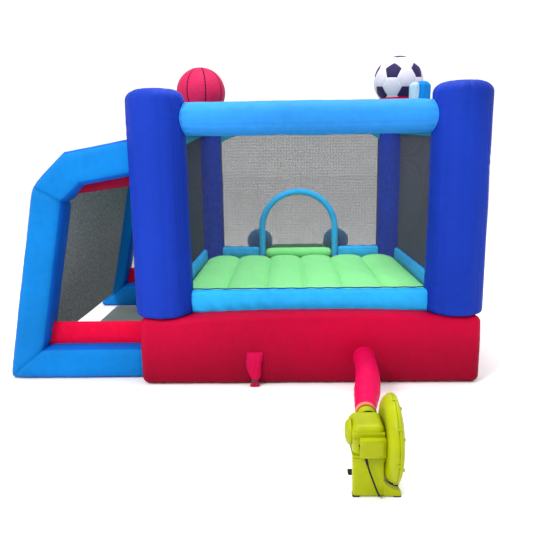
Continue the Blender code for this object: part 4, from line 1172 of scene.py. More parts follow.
def basketball(looks):
    """Eight gores that meet at the top and the bottom, with dark tape over the seams."""
    low, high = span("basketball")
    centre = (low + high) / 2
    around, upwards = 256, 128
    lat = np.linspace(-89.5, 89.5, upwards)
    lon = np.arange(around) * 360 / around
    latitude, longitude = np.radians(np.meshgrid(lat, lon, indexing="ij"))
    first = math.radians(FIRST_SEAM)
    gore = TAU / GORES
    share = ((longitude - first) / gore) % 1.0
    from_seam = np.minimum(share, 1 - share) * gore * np.cos(latitude) * BALL_RADIUS
    fold = np.sin(latitude * 46 + 1.3 * np.sin(longitude * 3))
    sink = 0.0040 * np.exp(-from_seam / 0.013) + 0.0016 * (0.5 + 0.5 * fold) * np.exp(-from_seam / 0.028)
    flat = np.cos(latitude)
    unit = np.stack([flat * np.cos(longitude), flat * np.sin(longitude), np.sin(latitude)], axis=2)
    radius = BALL_RADIUS - sink + 0.0010 * ripple(unit.reshape(-1, 3), 0.9, 61).reshape(latitude.shape)
    rings = centre + unit * radius[:, :, None]
    shaped("basketball_soft", skin(rings), looks["basketball"], ["basketball"])

    strips = []
    half = 0.0060
    tape = ((-1.0, -0.002), (-0.8, 0.0010), (0.0, 0.0016), (0.8, 0.0010), (1.0, -0.002))
    for number in range(GORES):
        angle = first + number * gore
        east = np.array([-math.sin(angle), math.cos(angle), 0.0])
        rings = []
        for t in np.radians(np.linspace(-84, 86.5, 110)):
            spot = np.array([math.cos(t) * math.cos(angle), math.cos(t) * math.sin(angle), math.sin(t)])
            wide = half * min(1.0, 0.35 + math.cos(t) * 3)
            base_radius = BALL_RADIUS - 0.0036 - 0.0005 * math.sin(t * 46)
            rings.append([centre + spot * (base_radius + lift) + east * side * wide for side, lift in tape])
        strips.append(skin(rings, closed=True))
    disc = turned([(0.0002, 0.0015), (0.012, 0.0012), (0.017, 0.0), (0.0175, -0.004)],
                  centre + np.array([0, 0, BALL_RADIUS - 0.003]), "Z", 32)
    strips.append(skin(disc, ends=False))
    shaped("basketball_tape", join(strips), looks["seam"])


# Four neighbouring dark panels of the soccer ball, as sideways, upwards and towards the front
PANEL_DIRECTIONS = ((-0.21, 0.46, 0.86), (0.79, 0.42, 0.45), (-0.73, -0.48, 0.49), (0.30, -0.44, 0.85))
BALL_FRONT = (-0.18, -0.976, -0.117)


def soccer_ball(looks):
    """Twelve dark and twenty pale panels, each crowned between its sewn edges."""
    low, high = span("soccer_ball")
    centre = (low + high) / 2
    golden = (1 + math.sqrt(5)) / 2
    corners = []
    for a in (-1, 1):
        for b in (-golden, golden):
            corners += [(0, a, b), (a, b, 0), (b, 0, a)]
    corners = np.array(corners, float)
    corners /= np.linalg.norm(corners, axis=1)[:, None]
    near = np.array([[i != j and np.dot(corners[i], corners[j]) > 0.4 for j in range(12)] for i in range(12)])

    front = np.array(BALL_FRONT)
    front /= np.linalg.norm(front)
    right = np.cross((0, 0, 1.0), front)
    right /= np.linalg.norm(right)
    up = np.cross(front, right)
    wanted = np.array([a * right + b * up + c * front for a, b, c in PANEL_DIRECTIONS])
    wanted /= np.linalg.norm(wanted, axis=1)[:, None]
    best = None
    for i in range(12):
        for j in np.flatnonzero(near[i]):
            for l in np.flatnonzero(near[i] & near[j]):
                for k in np.flatnonzero(near[i] & near[l]):
                    if k == j or near[k][j]:
                        continue
                    chosen = corners[[i, j, k, l]]
                    u, _, vt = np.linalg.svd(chosen.T @ wanted)
                    mirror = np.diag([1, 1, np.sign(np.linalg.det(u @ vt))])
                    turn = u @ mirror @ vt
                    error = np.linalg.norm(chosen @ turn - wanted)
                    if best is None or error < best[0] - 1e-9:
                        best = (error, turn)
    corners = corners @ best[1]

    panels = []
    for i in range(12):
        around = list(np.flatnonzero(near[i]))
        side = np.cross(corners[i], (0.3, 0.5, 0.8))
        side /= np.linalg.norm(side)
        other = np.cross(corners[i], side)
        around.sort(key=lambda j: math.atan2(corners[j] @ other, corners[j] @ side))
        panels.append(([corners[i] * 2 / 3 + corners[j] / 3 for j in around], 1))
    for i in range(12):
        for j in range(i + 1, 12):
            for k in range(j + 1, 12):
                if near[i][j] and near[j][k] and near[i][k]:
                    a, b, c = corners[i], corners[j], corners[k]
                    panels.append(([(2 * a + b) / 3, (a + 2 * b) / 3, (2 * b + c) / 3, (b + 2 * c) / 3,
                                    (2 * c + a) / 3, (c + 2 * a) / 3], 0))
    points, faces, kinds = [], [], []
    rings, steps = 12, 10
    for outline, kind in panels:
        outline = np.array(outline)
        middle = outline.mean(axis=0)
        inner = np.linalg.norm((outline[0] + outline[1]) / 2 - middle) * BALL_RADIUS
        edge = []
        for a, b in zip(outline, np.roll(outline, -1, axis=0)):
            edge += [a + (b - a) * s / steps for s in range(steps)]
        edge = np.array(edge)
        sides = len(edge)
        first = len(points)
        points.append(centre + middle / np.linalg.norm(middle) * BALL_RADIUS)
        for ring in range(1, rings + 1):
            share = 1 - (1 - ring / rings) ** 1.5
            flat = middle + (edge - middle) * share
            unit = flat / np.linalg.norm(flat, axis=1)[:, None]
            to_edge = (1 - share) * inner
            fold = 0.5 + 0.5 * np.cos(np.arange(sides) * TAU / steps * 2)
            sink = 0.0038 * math.exp(-to_edge / 0.008) + 0.0012 * fold * math.exp(-to_edge / 0.02) * (share < 1)
            sink = np.broadcast_to(sink, (sides,))
            points += list(centre + unit * (BALL_RADIUS - sink)[:, None])
        for j in range(sides):
            k = (j + 1) % sides
            faces.append((first, first + 1 + j, first + 1 + k))
            kinds.append(kind)
            for ring in range(rings - 1):
                a = first + 1 + ring * sides
                faces.append((a + j, a + sides + j, a + sides + k, a + k))
                kinds.append(kind)
    shaped("soccer_ball_soft", (points, faces, kinds, 1e-5), (looks["white"], looks["patch"]),
           ["soccer_ball"])

    sides = 144
    turn = np.arange(sides) * TAU / sides
    rings = []
    low, high = span("soccer_ball_collar")
    for share in np.linspace(0, 1, 16):
        z = low[2] + (high[2] - 0.002 - low[2]) * share
        reach = math.sqrt(max(BALL_RADIUS ** 2 - (z - centre[2]) ** 2, 0.0)) if z > centre[2] - BALL_RADIUS else 0.0
        radius = max(0.120 + 0.036 * math.sin(share * 1.5), reach + 0.003)
        radius = min(radius, 0.158)
        wave = (0.0035 + 0.003 * (1 - share)) * np.cos(22 * turn + 1.5 * np.sin(3 * turn))
        rings.append(level_ring(centre[0], centre[1], z, radius + wave, turn))
    inner = [ring.copy() for ring in rings[::-1]]
    for ring in inner:
        middle = ring.mean(axis=0)
        ring[:, :2] = middle[:2] + (ring[:, :2] - middle[:2]) * 0.975
    shaped("ball_collar", skin(np.array(rings + inner), ends=False), looks["band"],
           ["soccer_ball_collar"])


def beam_peg(looks):
    """The stub on the right beam: a gathered blue bulb, and a pale lobe at its side whose pale colour is a painted
    highlight.
    """
    low, high = span("beam_peg")
    centre = (low + high) / 2
    sides = 96
    turn = np.arange(sides) * TAU / sides

    def bulb(x, y, radius, foot, top, squash):
        rings = []
        neck = 0.80
        shoulder = top - radius * squash
        for share in np.linspace(0, 1, 26):
            z = foot + (shoulder - foot) * share
            waist = 1 - 0.05 * math.exp(-((share - 0.45) / 0.08) ** 2)
            size = radius * (neck + (1 - neck) * ease(share * 1.6)) * waist
            wave = 0.0030 * np.cos(11 * turn + 2 * math.sin(share * 5)) * (1 - 0.6 * share)
            rings.append(level_ring(x, y, z, size + wave, turn))
        for a in np.radians(np.linspace(6, 86, 14)):
            wave = 0.0024 * math.cos(a) * np.cos(9 * turn)
            size = radius * math.cos(a)
            rings.append(level_ring(x, y, shoulder + radius * squash * math.sin(a), size + wave, turn))
        return skin(rings)

    foot = low[2] + 0.03
    shaped("peg_soft", bulb(centre[0] + 0.040, centre[1], 0.066, foot, high[2] - 0.002, 0.7), looks["frame"],
           ["beam_peg"])
    # The pale lobe's colour is a painted highlight.
    shaped("peg_painted_highlight_lobe", bulb(centre[0] - 0.024, centre[1] - 0.020, 0.044, foot + 0.02, high[2] - 0.012, 0.9),
           looks["pale"])


# Slide


SLIDE_RAIL_RADIUS = 0.115
SLIDE_HEAD = (1.23, 0.53)
SLIDE_FOOT = (2.08, 0.125)


def slide(looks):
    """Two fat rails with domed ends, the wedge under them, and the channelled mat between them."""
    head, foot = np.array(SLIDE_HEAD), np.array(SLIDE_FOOT)
    run = foot - head
    length = np.linalg.norm(run)
    run /= length
    ahead = np.array([0, run[0], run[1]])
    across = np.array([1.0, 0, 0])
    rise = np.cross(across, ahead)
    sides = 88
    turn = np.arange(sides) * TAU / sides
    spoke = np.outer(np.cos(turn), across) + np.outer(np.sin(turn), rise)
    radius = SLIDE_RAIL_RADIUS
    for number, side in enumerate(("left", "right")):
        low, high = span(f"slide_rail_{side}")
        start = np.array([(low[0] + high[0]) / 2, head[0], head[1]])
        stops = [(-radius * math.sin(a), radius * math.cos(a)) for a in np.linspace(math.radians(88), 0, 20)]
        stops += [(d, radius) for d in np.linspace(0, length, 70)[1:-1]]
        stops += [(length + radius * math.sin(a), radius * math.cos(a)) for a in np.linspace(0, math.radians(88), 20)]
        rings = []
        for along, size in stops:
            from_end = max(0.0, min(along, length - along))
            pleat = 0.5 + 0.5 * np.cos(18 * turn + 1.5 * np.sin(2 * turn + number))
            near = math.exp(-from_end / 0.05) * min(1.0, size / radius * 1.6)
            scale = size - 0.0048 * near * pleat
            scale = scale - 0.0022 * np.exp(-(apart(turn, 0.3) * radius / 0.006) ** 2)
            ring = start + ahead * along + spoke * scale[:, None]
            rings.append(ring + spoke * (0.0024 * ripple(ring, 0.30, 70 + number))[:, None])
        # The rails' lifted blue is painted light.
        shaped(f"slide_rail_{side}_soft", skin(rings), looks["rail"], [f"slide_rail_{side}"])
        pipes = [hoop(start + ahead * along + spoke * (radius - 0.001), 0.0035) for along in (0.0, length)]
        shaped(f"slide_rail_{side}_piping", join(pipes), looks["piping"])

    low, high = span("slide_body")
    slope_y = 1.256
    section = rounded_section(96, 9)
    rings = []
    middle_x, half_x = (low[0] + high[0]) / 2, (high[0] - low[0]) / 2
    for share in np.linspace(0, 1, 70):
        y = low[1] + (high[1] - low[1]) * share
        top = high[2] if y < slope_y else high[2] + (0.010 - high[2]) * (y - slope_y) / (high[1] - slope_y)
        bulge = 0.006 * math.sin(math.pi * (y - low[1]) / (high[1] - low[1]))
        wide = half_x * (1 - 0.04 * math.exp(-(y - low[1]) / 0.02)) + bulge
        ring = np.column_stack([middle_x + wide * section[:, 0], np.full(96, y), top / 2 + top / 2 * section[:, 1]])
        fold = ripple(np.column_stack([ring[:, 0] * 0.3, ring[:, 1], ring[:, 2] * 0.4]), 0.12, 75)
        ring[:, 0] += 0.0035 * fold * np.sign(section[:, 0]) * (np.abs(section[:, 0]) > 0.97)
        ring[:, 2] = np.maximum(ring[:, 2], 0.0012)
        rings.append(ring)
    shaped("slide_body_soft", skin(rings), looks["base"], ["slide_body"])

    low, high = span("slide_mat")
    path = [(low[1], high[2] - 0.040), (1.245, high[2] - 0.040), (2.045, 0.062), (2.135, 0.018), (2.160, 0.012)]
    line = smooth_line([(0, y, z) for y, z in path], 30)
    line = evenly(line, 0.012)
    total = len(line)
    section = rounded_section(120, 7)
    middle_x, half_x = (low[0] + high[0]) / 2, (high[0] - low[0]) / 2
    rings = []
    for i, spot in enumerate(line):
        nearby = line[min(i + 1, total - 1)] - line[max(i - 1, 0)]
        nearby /= np.linalg.norm(nearby)
        up = np.cross((1.0, 0, 0), nearby)
        thick = 0.040 * min(1.0, 0.30 + (total - 1 - i) * 0.012 / 0.11) * (1 - 0.25 * math.exp(-i * 0.012 / 0.02))
        across_share = section[:, 0]
        channel = np.abs(np.sin(across_share * 1.5 * math.pi + math.pi / 2)) ** 0.5
        lift = section[:, 1] * thick * np.where(section[:, 1] > 0.5, 0.80 + 0.24 * channel, 1.0)
        fold = 0.0025 * np.sin(TAU * i * 0.012 / 0.05 + across_share * 4) * (1 - channel) * (section[:, 1] > 0.5)
        ring = spot + np.outer(middle_x + half_x * section[:, 0], (1, 0, 0)) + np.outer(lift - fold, up)
        ring[:, 2] = np.maximum(ring[:, 2], 0.001)
        rings.append(ring)
    shaped("slide_mat_soft", skin(rings), looks["floor"], ["slide_mat"])


# Goal bay

FRAME_HALF_WIDTH = 0.10
FRAME_PATH = ((-0.98, 0.10), (-1.694, 0.10), (-1.489, 1.107), (-1.336, 1.250), (-0.86, 1.333))
FRAME_MEMBERS = (("foot_beam", (0, 1)), ("leg", (1, 2)), ("top_beam", (2, 3, 4)))
FRAME_Y = {"near": -0.905, "far": 0.92}


def frame_corners():
    """Outer and inner corners of the goal frame, mitred at each bend of its centre line."""
    path = [np.array(p) for p in FRAME_PATH]
    sides = [(b - a) / np.linalg.norm(b - a) for a, b in zip(path, path[1:])]
    outer, inner = [], []
    for i, point in enumerate(path):
        before, after = sides[max(i - 1, 0)], sides[min(i, len(sides) - 1)]
        right = np.array([after[1], -after[0]])
        across = np.array([before[1], -before[0]]) + right
        across /= np.linalg.norm(across)
        reach = FRAME_HALF_WIDTH / across.dot(right)
        inner.append(point + across * reach)
        outer.append(point - across * reach)
    return outer, inner


def goal_member(place, member, bends, outer, inner, looks, seed):
    """One sewn length of square tube between its mitres, gathered at the seams."""
    y = FRAME_Y[place]
    sides = 112
    section = rounded_section(sides, 3.8)
    stops = []
    for a, b in zip(bends, bends[1:]):
        length = np.linalg.norm((outer[b] + inner[b]) / 2 - (outer[a] + inner[a]) / 2)
        shares = np.linspace(0, 1, max(8, round(length / 0.011)))
        for share in shares if b == bends[-1] else shares[:-1]:
            stops.append((outer[a] + (outer[b] - outer[a]) * share, inner[a] + (inner[b] - inner[a]) * share))
    middles = np.array([(o + i) / 2 for o, i in stops])
    along = distances(middles)
    total = along[-1]
    rings = []
    half = FRAME_HALF_WIDTH
    turn = np.arange(sides) * TAU / sides
    corner = (np.abs(section[:, 0]) * np.abs(section[:, 1])) ** 3
    for (o, i), at in zip(stops, along):
        from_end = min(at, total - at)
        near = math.exp(-from_end / 0.020)
        squeeze = 1 - 0.085 * near + 0.018 * math.sin(math.pi * at / total)
        gather = 1 - 0.030 * near * (0.5 + 0.5 * np.cos(16 * turn + seed))
        pucker = 1 - 0.020 * corner * (0.5 + 0.5 * math.sin(TAU * at / 0.043 + seed))
        scale = squeeze * gather * pucker
        middle = (o + i) / 2
        arm = (o - i) / 2
        x = middle[0] + arm[0] * section[:, 0] * scale
        z = middle[1] + arm[1] * section[:, 0] * scale
        depth = y + half * section[:, 1] * scale
        ring = np.column_stack([x, depth, z])
        uneven = 0.0024 * ripple(ring, 0.30, seed) + 0.0012 * ripple(ring, 0.10, seed + 9)
        way = np.column_stack([arm[0] * section[:, 0] / half, section[:, 1], arm[1] * section[:, 0] / half])
        way /= np.maximum(np.linalg.norm(way, axis=1), 1e-6)[:, None]
        ring = ring + way * uneven[:, None]
        ring[:, 2] = np.maximum(ring[:, 2], 0.0012)
        rings.append(ring)
    rings = np.array(rings)
    caps = [end.mean(axis=0) + (end - end.mean(axis=0)) * 0.72 for end in (rings[0], rings[-1])]
    rings = np.concatenate([caps[:1], rings, caps[1:]])
    points, faces = skin(rings)
    # The side faces of each member take the darker blue: painted shade.
    painted_shade_side = np.abs(section[:, 1]) <= np.abs(section[:, 0])
    kinds = [painted_shade_side[face[0] % sides] for face in faces]
    name = f"goal_{place}_{member}"
    shaped(f"{name}_soft", (points, faces, kinds, None), (looks["frame"], looks["frame_painted_shade_side"]),
           [name])


def quad_pad(corners, y, half, crown, seed, wrinkle=0.003):
    """A thin stuffed panel between four corners of the upright plane at y."""
    a, b, c, d = (np.array(p, float) for p in corners)
    count_u = max(16, round(np.linalg.norm(b - a) / 0.008))
    count_v = max(10, round(np.linalg.norm(d - a) / 0.008))
    u, v = np.meshgrid(np.linspace(0, 1, count_u), np.linspace(0, 1, count_v), indexing="ij")
    flat = (a * ((1 - u) * (1 - v))[..., None] + b * (u * (1 - v))[..., None]
            + c * (u * v)[..., None] + d * ((1 - u) * v)[..., None])
    rim = np.minimum(np.minimum(u, 1 - u) * np.linalg.norm(b - a), np.minimum(v, 1 - v) * np.linalg.norm(d - a))
    spot = np.column_stack([flat[..., 0].ravel(), np.full(u.size, y), flat[..., 1].ravel()])
    rough = ripple(spot, 0.10, seed).reshape(u.shape) + 0.6 * ripple(spot, 0.04, seed + 1).reshape(u.shape)
    swell = half * np.sqrt(np.clip(rim / 0.02, 0, 1)) + crown * (1 - (2 * u - 1) ** 2) * (1 - (2 * v - 1) ** 2)
    swell = swell + wrinkle * rough * np.clip(rim / 0.012, 0, 1)
    front, back = (np.stack([flat[..., 0], y + side * np.maximum(swell, 0.0005), flat[..., 1]], axis=2)
                   for side in (-1, 1))
    return skin(np.concatenate([front, back[:, ::-1]], axis=1))


def goal_bay(looks):
    """The near and the far goal frame with their red bands, the nets between them, and the cloth under them."""
    outer, inner = frame_corners()
    seed = 80
    column_side = -COLUMN_X - 0.16
    house_side = -0.975
    into = 0.018
    for place, y in FRAME_Y.items():
        for member, bends in FRAME_MEMBERS:
            seed += 3
            goal_member(place, member, bends, outer, inner, looks, seed)

        seams = []
        for bend in (1, 2):
            o, i = outer[bend], inner[bend]
            middle, arm = (o + i) / 2, (o - i) / 2
            outline = rounded_section(60, 3.8) * 0.905
            ring = np.column_stack([middle[0] + arm[0] * outline[:, 0], y + FRAME_HALF_WIDTH * outline[:, 1],
                                    middle[1] + arm[1] * outline[:, 0]])
            ring[:, 2] = np.maximum(ring[:, 2], 0.004)
            seams.append(hoop(ring, 0.0036))
        shaped(f"goal_{place}_seams", join(seams), looks["frame"])

        leg_low, leg_high, beam_low = inner[1], inner[2], inner[3]
        slope = (inner[4][1] - beam_low[1]) / (inner[4][0] - beam_low[0])
        beam_end = np.array([column_side, beam_low[1] + slope * (column_side - beam_low[0])])
        lower_z = leg_low[1] + 0.135
        lower_top = leg_low + (leg_high - leg_low) * (lower_z - leg_low[1]) / (leg_high[1] - leg_low[1])
        lower = ((leg_low[0] - into, leg_low[1] - into), (house_side + 0.02, leg_low[1] - into),
                 (house_side + 0.02, lower_top[1]), (lower_top[0] - into, lower_top[1]))
        seed += 3
        shaped(f"goal_{place}_lower_band_soft", quad_pad(lower, y, 0.009, 0.006, seed), looks["band"],
               [f"goal_{place}_lower_band"])
        corner = beam_low + (leg_high - beam_low) * 0.6
        upper = ((corner[0] - into, corner[1] + 0.004), (column_side + into, beam_end[1] - 0.055),
                 (column_side + into, beam_end[1] + into), (beam_low[0] - into, beam_low[1] + into))
        # The upper band takes the darker red: painted shade.
        shaped(f"goal_{place}_upper_band_soft", quad_pad(upper, y, 0.008, 0.003, seed + 1), looks["band_painted_shade"],
               [f"goal_{place}_upper_band"])
        if place == "far":
            outline = [(lower_top[0] - into, lower_top[1] - 0.01), (house_side + 0.01, lower_top[1] - 0.01),
                       (house_side + 0.01, 0.415), (column_side + into, 0.42),
                       (column_side + into, beam_end[1] - 0.045), (corner[0] - into, corner[1] + into),
                       (leg_high[0] - into, leg_high[1] + 0.005)]
            net("net_goal_far", "goal_far_net", outline, y, looks, seed=12, billow=0.004, look="pale_net")
    goal_side_net(looks)
    ground_sheet(looks)


def ground_sheet(looks):
    """The thin cloth on the ground of the goal bay, with a few flat creases."""
    xs, ys = np.linspace(-1.655, -0.995, 90), np.linspace(-0.80, 0.815, 200)
    thick = 0.0012
    rings = []
    for x in xs:
        spots = np.column_stack([np.full(len(ys), x), ys, np.zeros(len(ys))])
        stretched = spots * (0.35, 1.0, 1.0)
        crease = np.maximum(ripple(stretched, 0.10, 77) + 0.5 * ripple(stretched, 0.045, 78), 0.0)
        low = spots + (0, 0, 0.0006)
        high = spots + np.column_stack([np.zeros((len(ys), 2)), thick + 0.0006 + 0.0060 * crease])
        rings.append(np.vstack([high, low[::-1]]))
    made = shaped("ground_sheet", skin(rings), looks["ground"])


def goal_side_net(looks):
    """The netting between the two goal frames, which leans with their legs and bends over with them."""
    path = np.array(FRAME_PATH[1:4])
    path[0] += (path[1] - path[0]) * 0.02
    runs = np.linalg.norm(np.diff(path, axis=0), axis=1)
    tall = float(runs.sum())
    front, rear = FRAME_Y["near"] + FRAME_HALF_WIDTH - 0.02, FRAME_Y["far"] - FRAME_HALF_WIDTH + 0.02
    outline = ((front, 0.0), (rear, 0.0), (rear, tall), (front, tall))
    made = net("net_goal_side", "goal_side_net", outline, 0.0, looks, thread=0.00236, normal="X", seed=9,
               billow=-0.006, look="pale_net")
    spots = np.array([v.co for v in made.data.vertices])
    heading = (path[1] - path[0]) / runs[0], (path[2] - path[1]) / runs[1]
    past = spots[:, 2] > runs[0]
    for where, start, base, ahead in ((~past, 0.0, path[0], heading[0]), (past, runs[0], path[1], heading[1])):
        along, out = spots[where, 2] - start, spots[where, 0]
        spots[where, 0] = base[0] + ahead[0] * along + ahead[1] * out
        spots[where, 2] = base[1] + ahead[1] * along - ahead[0] * out
    made.data.vertices.foreach_set("co", spots.ravel())
    made.data.update()


# Deflation sleeve

SLEEVE_X = -0.318
SLEEVE_FACE = -1.1103
# Height, half width, distance from the base and depth of the sleeve
SLEEVE_LEVELS = (
    (0.203, 0.040, 0.001, 0.014),
    (0.196, 0.046, 0.001, 0.024),
    (0.180, 0.047, 0.002, 0.030),
    (0.150, 0.046, 0.005, 0.034),
    (0.120, 0.043, 0.007, 0.034),
    (0.095, 0.040, 0.008, 0.032),
    (0.070, 0.034, 0.010, 0.028),
    (0.052, 0.026, 0.013, 0.022),
    (0.040, 0.016, 0.015, 0.018),
    (0.035, 0.014, 0.015, 0.017),
    (0.028, 0.018, 0.014, 0.018),
    (0.014, 0.026, 0.012, 0.022),
    (0.002, 0.030, 0.011, 0.024),
)


def deflation_sleeve(looks):
    """A slack sleeve tied shut: deep lengthways folds that run together into the knot."""
    levels = smooth_line([(z, wide, near) for z, wide, near, _ in SLEEVE_LEVELS], 7)
    depths = smooth_line([(z, depth, 0.0) for z, _, _, depth in SLEEVE_LEVELS], 7)
    sides = 120
    turn = np.arange(sides) * TAU / sides
    rings = []
    for (z, wide, near), (_, depth, _) in zip(levels, depths):
        share = 1 - ease(np.clip((z - 0.035) / 0.13, 0, 1))
        fold = 0.10 + 0.20 * share
        wave = (np.cos(9 * turn + 2.2 * math.sin(z * 31)) * 0.6 + np.cos(5 * turn - z * 40) * 0.4
                + 0.7 * np.sin(z * 150 + 3 * np.sin(2 * turn)) * (1 - share))
        scale = 1 - fold * (0.5 + 0.5 * wave) * 0.75
        x = SLEEVE_X + 0.004 * math.sin(z * 38) + wide * 1.02 * np.cos(turn) * scale
        y = SLEEVE_FACE - near - depth / 2 + depth / 2 * 1.15 * np.sin(turn) * scale
        y = np.minimum(y, SLEEVE_FACE - 0.0004)
        rings.append(np.column_stack([x, y, np.full(sides, max(z, 0.0012))]))
    shaped("deflation_sleeve_soft", skin(rings), looks["tube"], ["deflation_sleeve"])

    place = np.array([SLEEVE_X, SLEEVE_FACE - 0.0235, 0.036])
    parts = []
    for number in range(3):
        around = np.linspace(0, TAU, 48)
        height = (number - 1) * 0.0036 + 0.001 * np.sin(2 * around + number)
        line = place + np.column_stack([0.0165 * np.cos(around), 0.0115 * np.sin(around), height])
        parts.append(thin_tube(line, 0.0021, 7))
    for side in (-1, 1):
        start = place + np.array([0.004 * side, -0.0125, -0.002])
        line = smooth_line([start, start + (0.006 * side, -0.004, -0.008), start + (0.010 * side, -0.003, -0.020),
                            start + (0.012 * side, -0.004, -0.030)], 8)
        parts.append(thin_tube(line, 0.0017, 7))
    knot = turned([(0.0003, -0.005), (0.0042, -0.003), (0.0052, 0), (0.0042, 0.003), (0.0003, 0.005)],
                  place + np.array([0.0, -0.0135, 0.0]), "X", 14)
    parts.append(skin(knot, ends=False))
    shaped("sleeve_knot", join(parts), looks["thread"], ["sleeve_tie"])


# Blower


BLOWER_Y = -2.215
BLOWER_Z = 0.215
COVER_X = 0.2803
COVER_RADIUS = 0.172
SCREW_CIRCLE = 0.1560
SCREWS = 8


def washers(profile, spots, axis="X", sides=28):
    """The same small turned shape at several places."""
    return [skin(turned(profile, spot, axis, sides), ends=False) for spot in spots]


def around_axis(x, radius, count, first):
    angles = np.radians(first + np.arange(count) * 360 / count)
    return [(x, BLOWER_Y + radius * math.cos(a), BLOWER_Z + radius * math.sin(a)) for a in angles]


def fan_shells(looks):
    """The dished back of the fan casing and its cover, with screw bosses, rings and the finger guard."""
    axis = (0.0, BLOWER_Y, BLOWER_Z)
    back = [(0.030, 0.2390), (0.126, 0.2390), (0.136, 0.2396), (0.1450, 0.2420), (0.1530, 0.2464), (0.1595, 0.2518),
            (0.1645, 0.2580), (0.1680, 0.2645), (0.1694, 0.2700), (0.1696, 0.2738), (0.1640, 0.2738),
            (0.1570, 0.2680), (0.1490, 0.2520), (0.1360, 0.2440), (0.030, 0.2440), (0.030, 0.2390)]
    shaped("fan_back_shell", skin(turned(back, axis, "X", 192), ends=False), looks["lime"],
           ["fan_casing"])

    lip = 0.075
    cover = [(lip, 0.0220), (lip + 0.0005, 0.0262), (lip + 0.0030, 0.0284), (lip + 0.0070, 0.0284),
             (lip + 0.0100, 0.0266), (0.0950, 0.0258), (0.1040, 0.0250), (0.1052, 0.0236), (0.1078, 0.0236),
             (0.1090, 0.0244), (0.1240, 0.0212), (0.1252, 0.0198), (0.1278, 0.0194), (0.1290, 0.0200),
             (0.1400, 0.0172), (0.1520, 0.0134), (0.1610, 0.0104), (0.1665, 0.0080), (0.1700, 0.0052),
             (0.1716, 0.0020), (COVER_RADIUS, -0.0010), (0.1716, -0.0042), (0.1700, -0.0058), (0.1660, -0.0060),
             (0.1640, 0.0020), (0.1500, 0.0080), (0.1160, 0.0170), (0.0820, 0.0215), (lip, 0.0220)]
    parts = [skin(turned([(r, COVER_X + x) for r, x in cover], axis, "X", 192), ends=False)]
    boss = [(0.0003, 0.0158), (0.0052, 0.0158), (0.0066, 0.0148), (0.0072, 0.0130), (0.0078, 0.0030),
            (0.0003, 0.0020)]
    parts += washers(boss, around_axis(COVER_X, SCREW_CIRCLE, SCREWS, 22))
    for number in range(SCREWS):
        points, faces = rounded_box((0.2655, -0.0055, 0.166), (0.2865, 0.0055, COVER_RADIUS + 0.0022), 0.0016, 0.004)
        turn = np.array(Matrix.Rotation(math.radians(10 + 45 * number), 3, "X"))
        parts.append((points @ turn.T + axis, faces))
    guard_x = COVER_X + 0.025
    for number in range(4):
        angle = math.radians(45 * number + 5)
        arm = np.array([0.0, math.cos(angle), math.sin(angle)]) * (lip + 0.002)
        centre = np.array([guard_x, BLOWER_Y, BLOWER_Z])
        parts.append(thin_tube([centre - arm, centre, centre + arm], 0.0018, 10))
    ring = np.array(around_axis(guard_x, 0.0445, 96, 0))
    parts.append(hoop(ring, 0.0022, 10))
    parts += washers([(0.0003, 0.0024), (0.0130, 0.0024), (0.0155, 0.0012), (0.0160, -0.0018), (0.0003, -0.0018)],
                     [(guard_x, BLOWER_Y, BLOWER_Z)], sides=64)
    shaped("fan_cover", join(parts), looks["lime"], ["inlet_cover"])
    head = [(0.0003, 0.0022), (0.0028, 0.0020), (0.0040, 0.0008), (0.0042, -0.002)]
    heads = washers(head, around_axis(COVER_X + 0.0160, SCREW_CIRCLE, SCREWS, 22))
    shaped("cover_screws", join(heads), looks["screw"])


def motor_shells(looks):
    """The motor's housing with its belt, ribs and nozzle, and the round cap over the motor's end."""
    low, high = np.array((0.114, -2.285, 0.1653)), np.array((0.238, -2.130, 0.292))
    points, faces = rounded_box(low, high, 0.026, 0.008)
    open_side = high[0] - 1e-5
    faces = [f for f in faces if points[list(f), 0].min() < open_side]
    parts = [(points, faces)]
    for out_x, out_y, foot, top, radius in (
        (0.0020, 0.0025, 0.246, 0.268, 0.0045),
        (0.0015, 0.0015, 0.1653, 0.176, 0.003),
    ):
        parts.append(rounded_box((low[0] - out_x, low[1] - out_y, foot), (high[0] - 0.001, high[1] + out_y, top),
                                 radius, 0.008))
    x, z = HOSE_START[0], HOSE_START[2]
    nozzle = [(0.0330, -2.136), (0.0330, -2.0365), (0.0338, -2.0352), (0.0350, -2.0352), (0.0360, -2.0368),
              (0.0360, -2.0790), (0.0386, -2.0795), (0.0398, -2.0815), (0.0398, -2.0870), (0.0388, -2.0890),
              (0.0368, -2.0900), (0.0364, -2.0960), (0.0366, -2.1180), (0.0380, -2.1250), (0.0410, -2.1290),
              (0.0420, -2.1330)]
    parts.append(skin(turned(nozzle, (x, 0, z), "Y", 128), ends=False))
    shaped("motor_shell", join(parts), looks["lime"], ["motor_housing"])

    cap = [(0.0003, 0.0897), (0.0140, 0.0899), (0.0240, 0.0908), (0.0250, 0.0922), (0.0268, 0.0922), (0.0278, 0.0914),
           (0.0360, 0.0940), (0.0370, 0.0956), (0.0388, 0.0960), (0.0398, 0.0954), (0.0450, 0.0996),
           (0.0490, 0.1050), (0.0508, 0.1100), (0.0512, 0.1137), (0.0480, 0.1150)]
    rings = turned(cap, (0, BLOWER_Y + 0.006, BLOWER_Z + 0.022), "X", 128)
    shaped("motor_end_cap", skin(rings, ends=False), looks["lime"], ["motor_cap"])


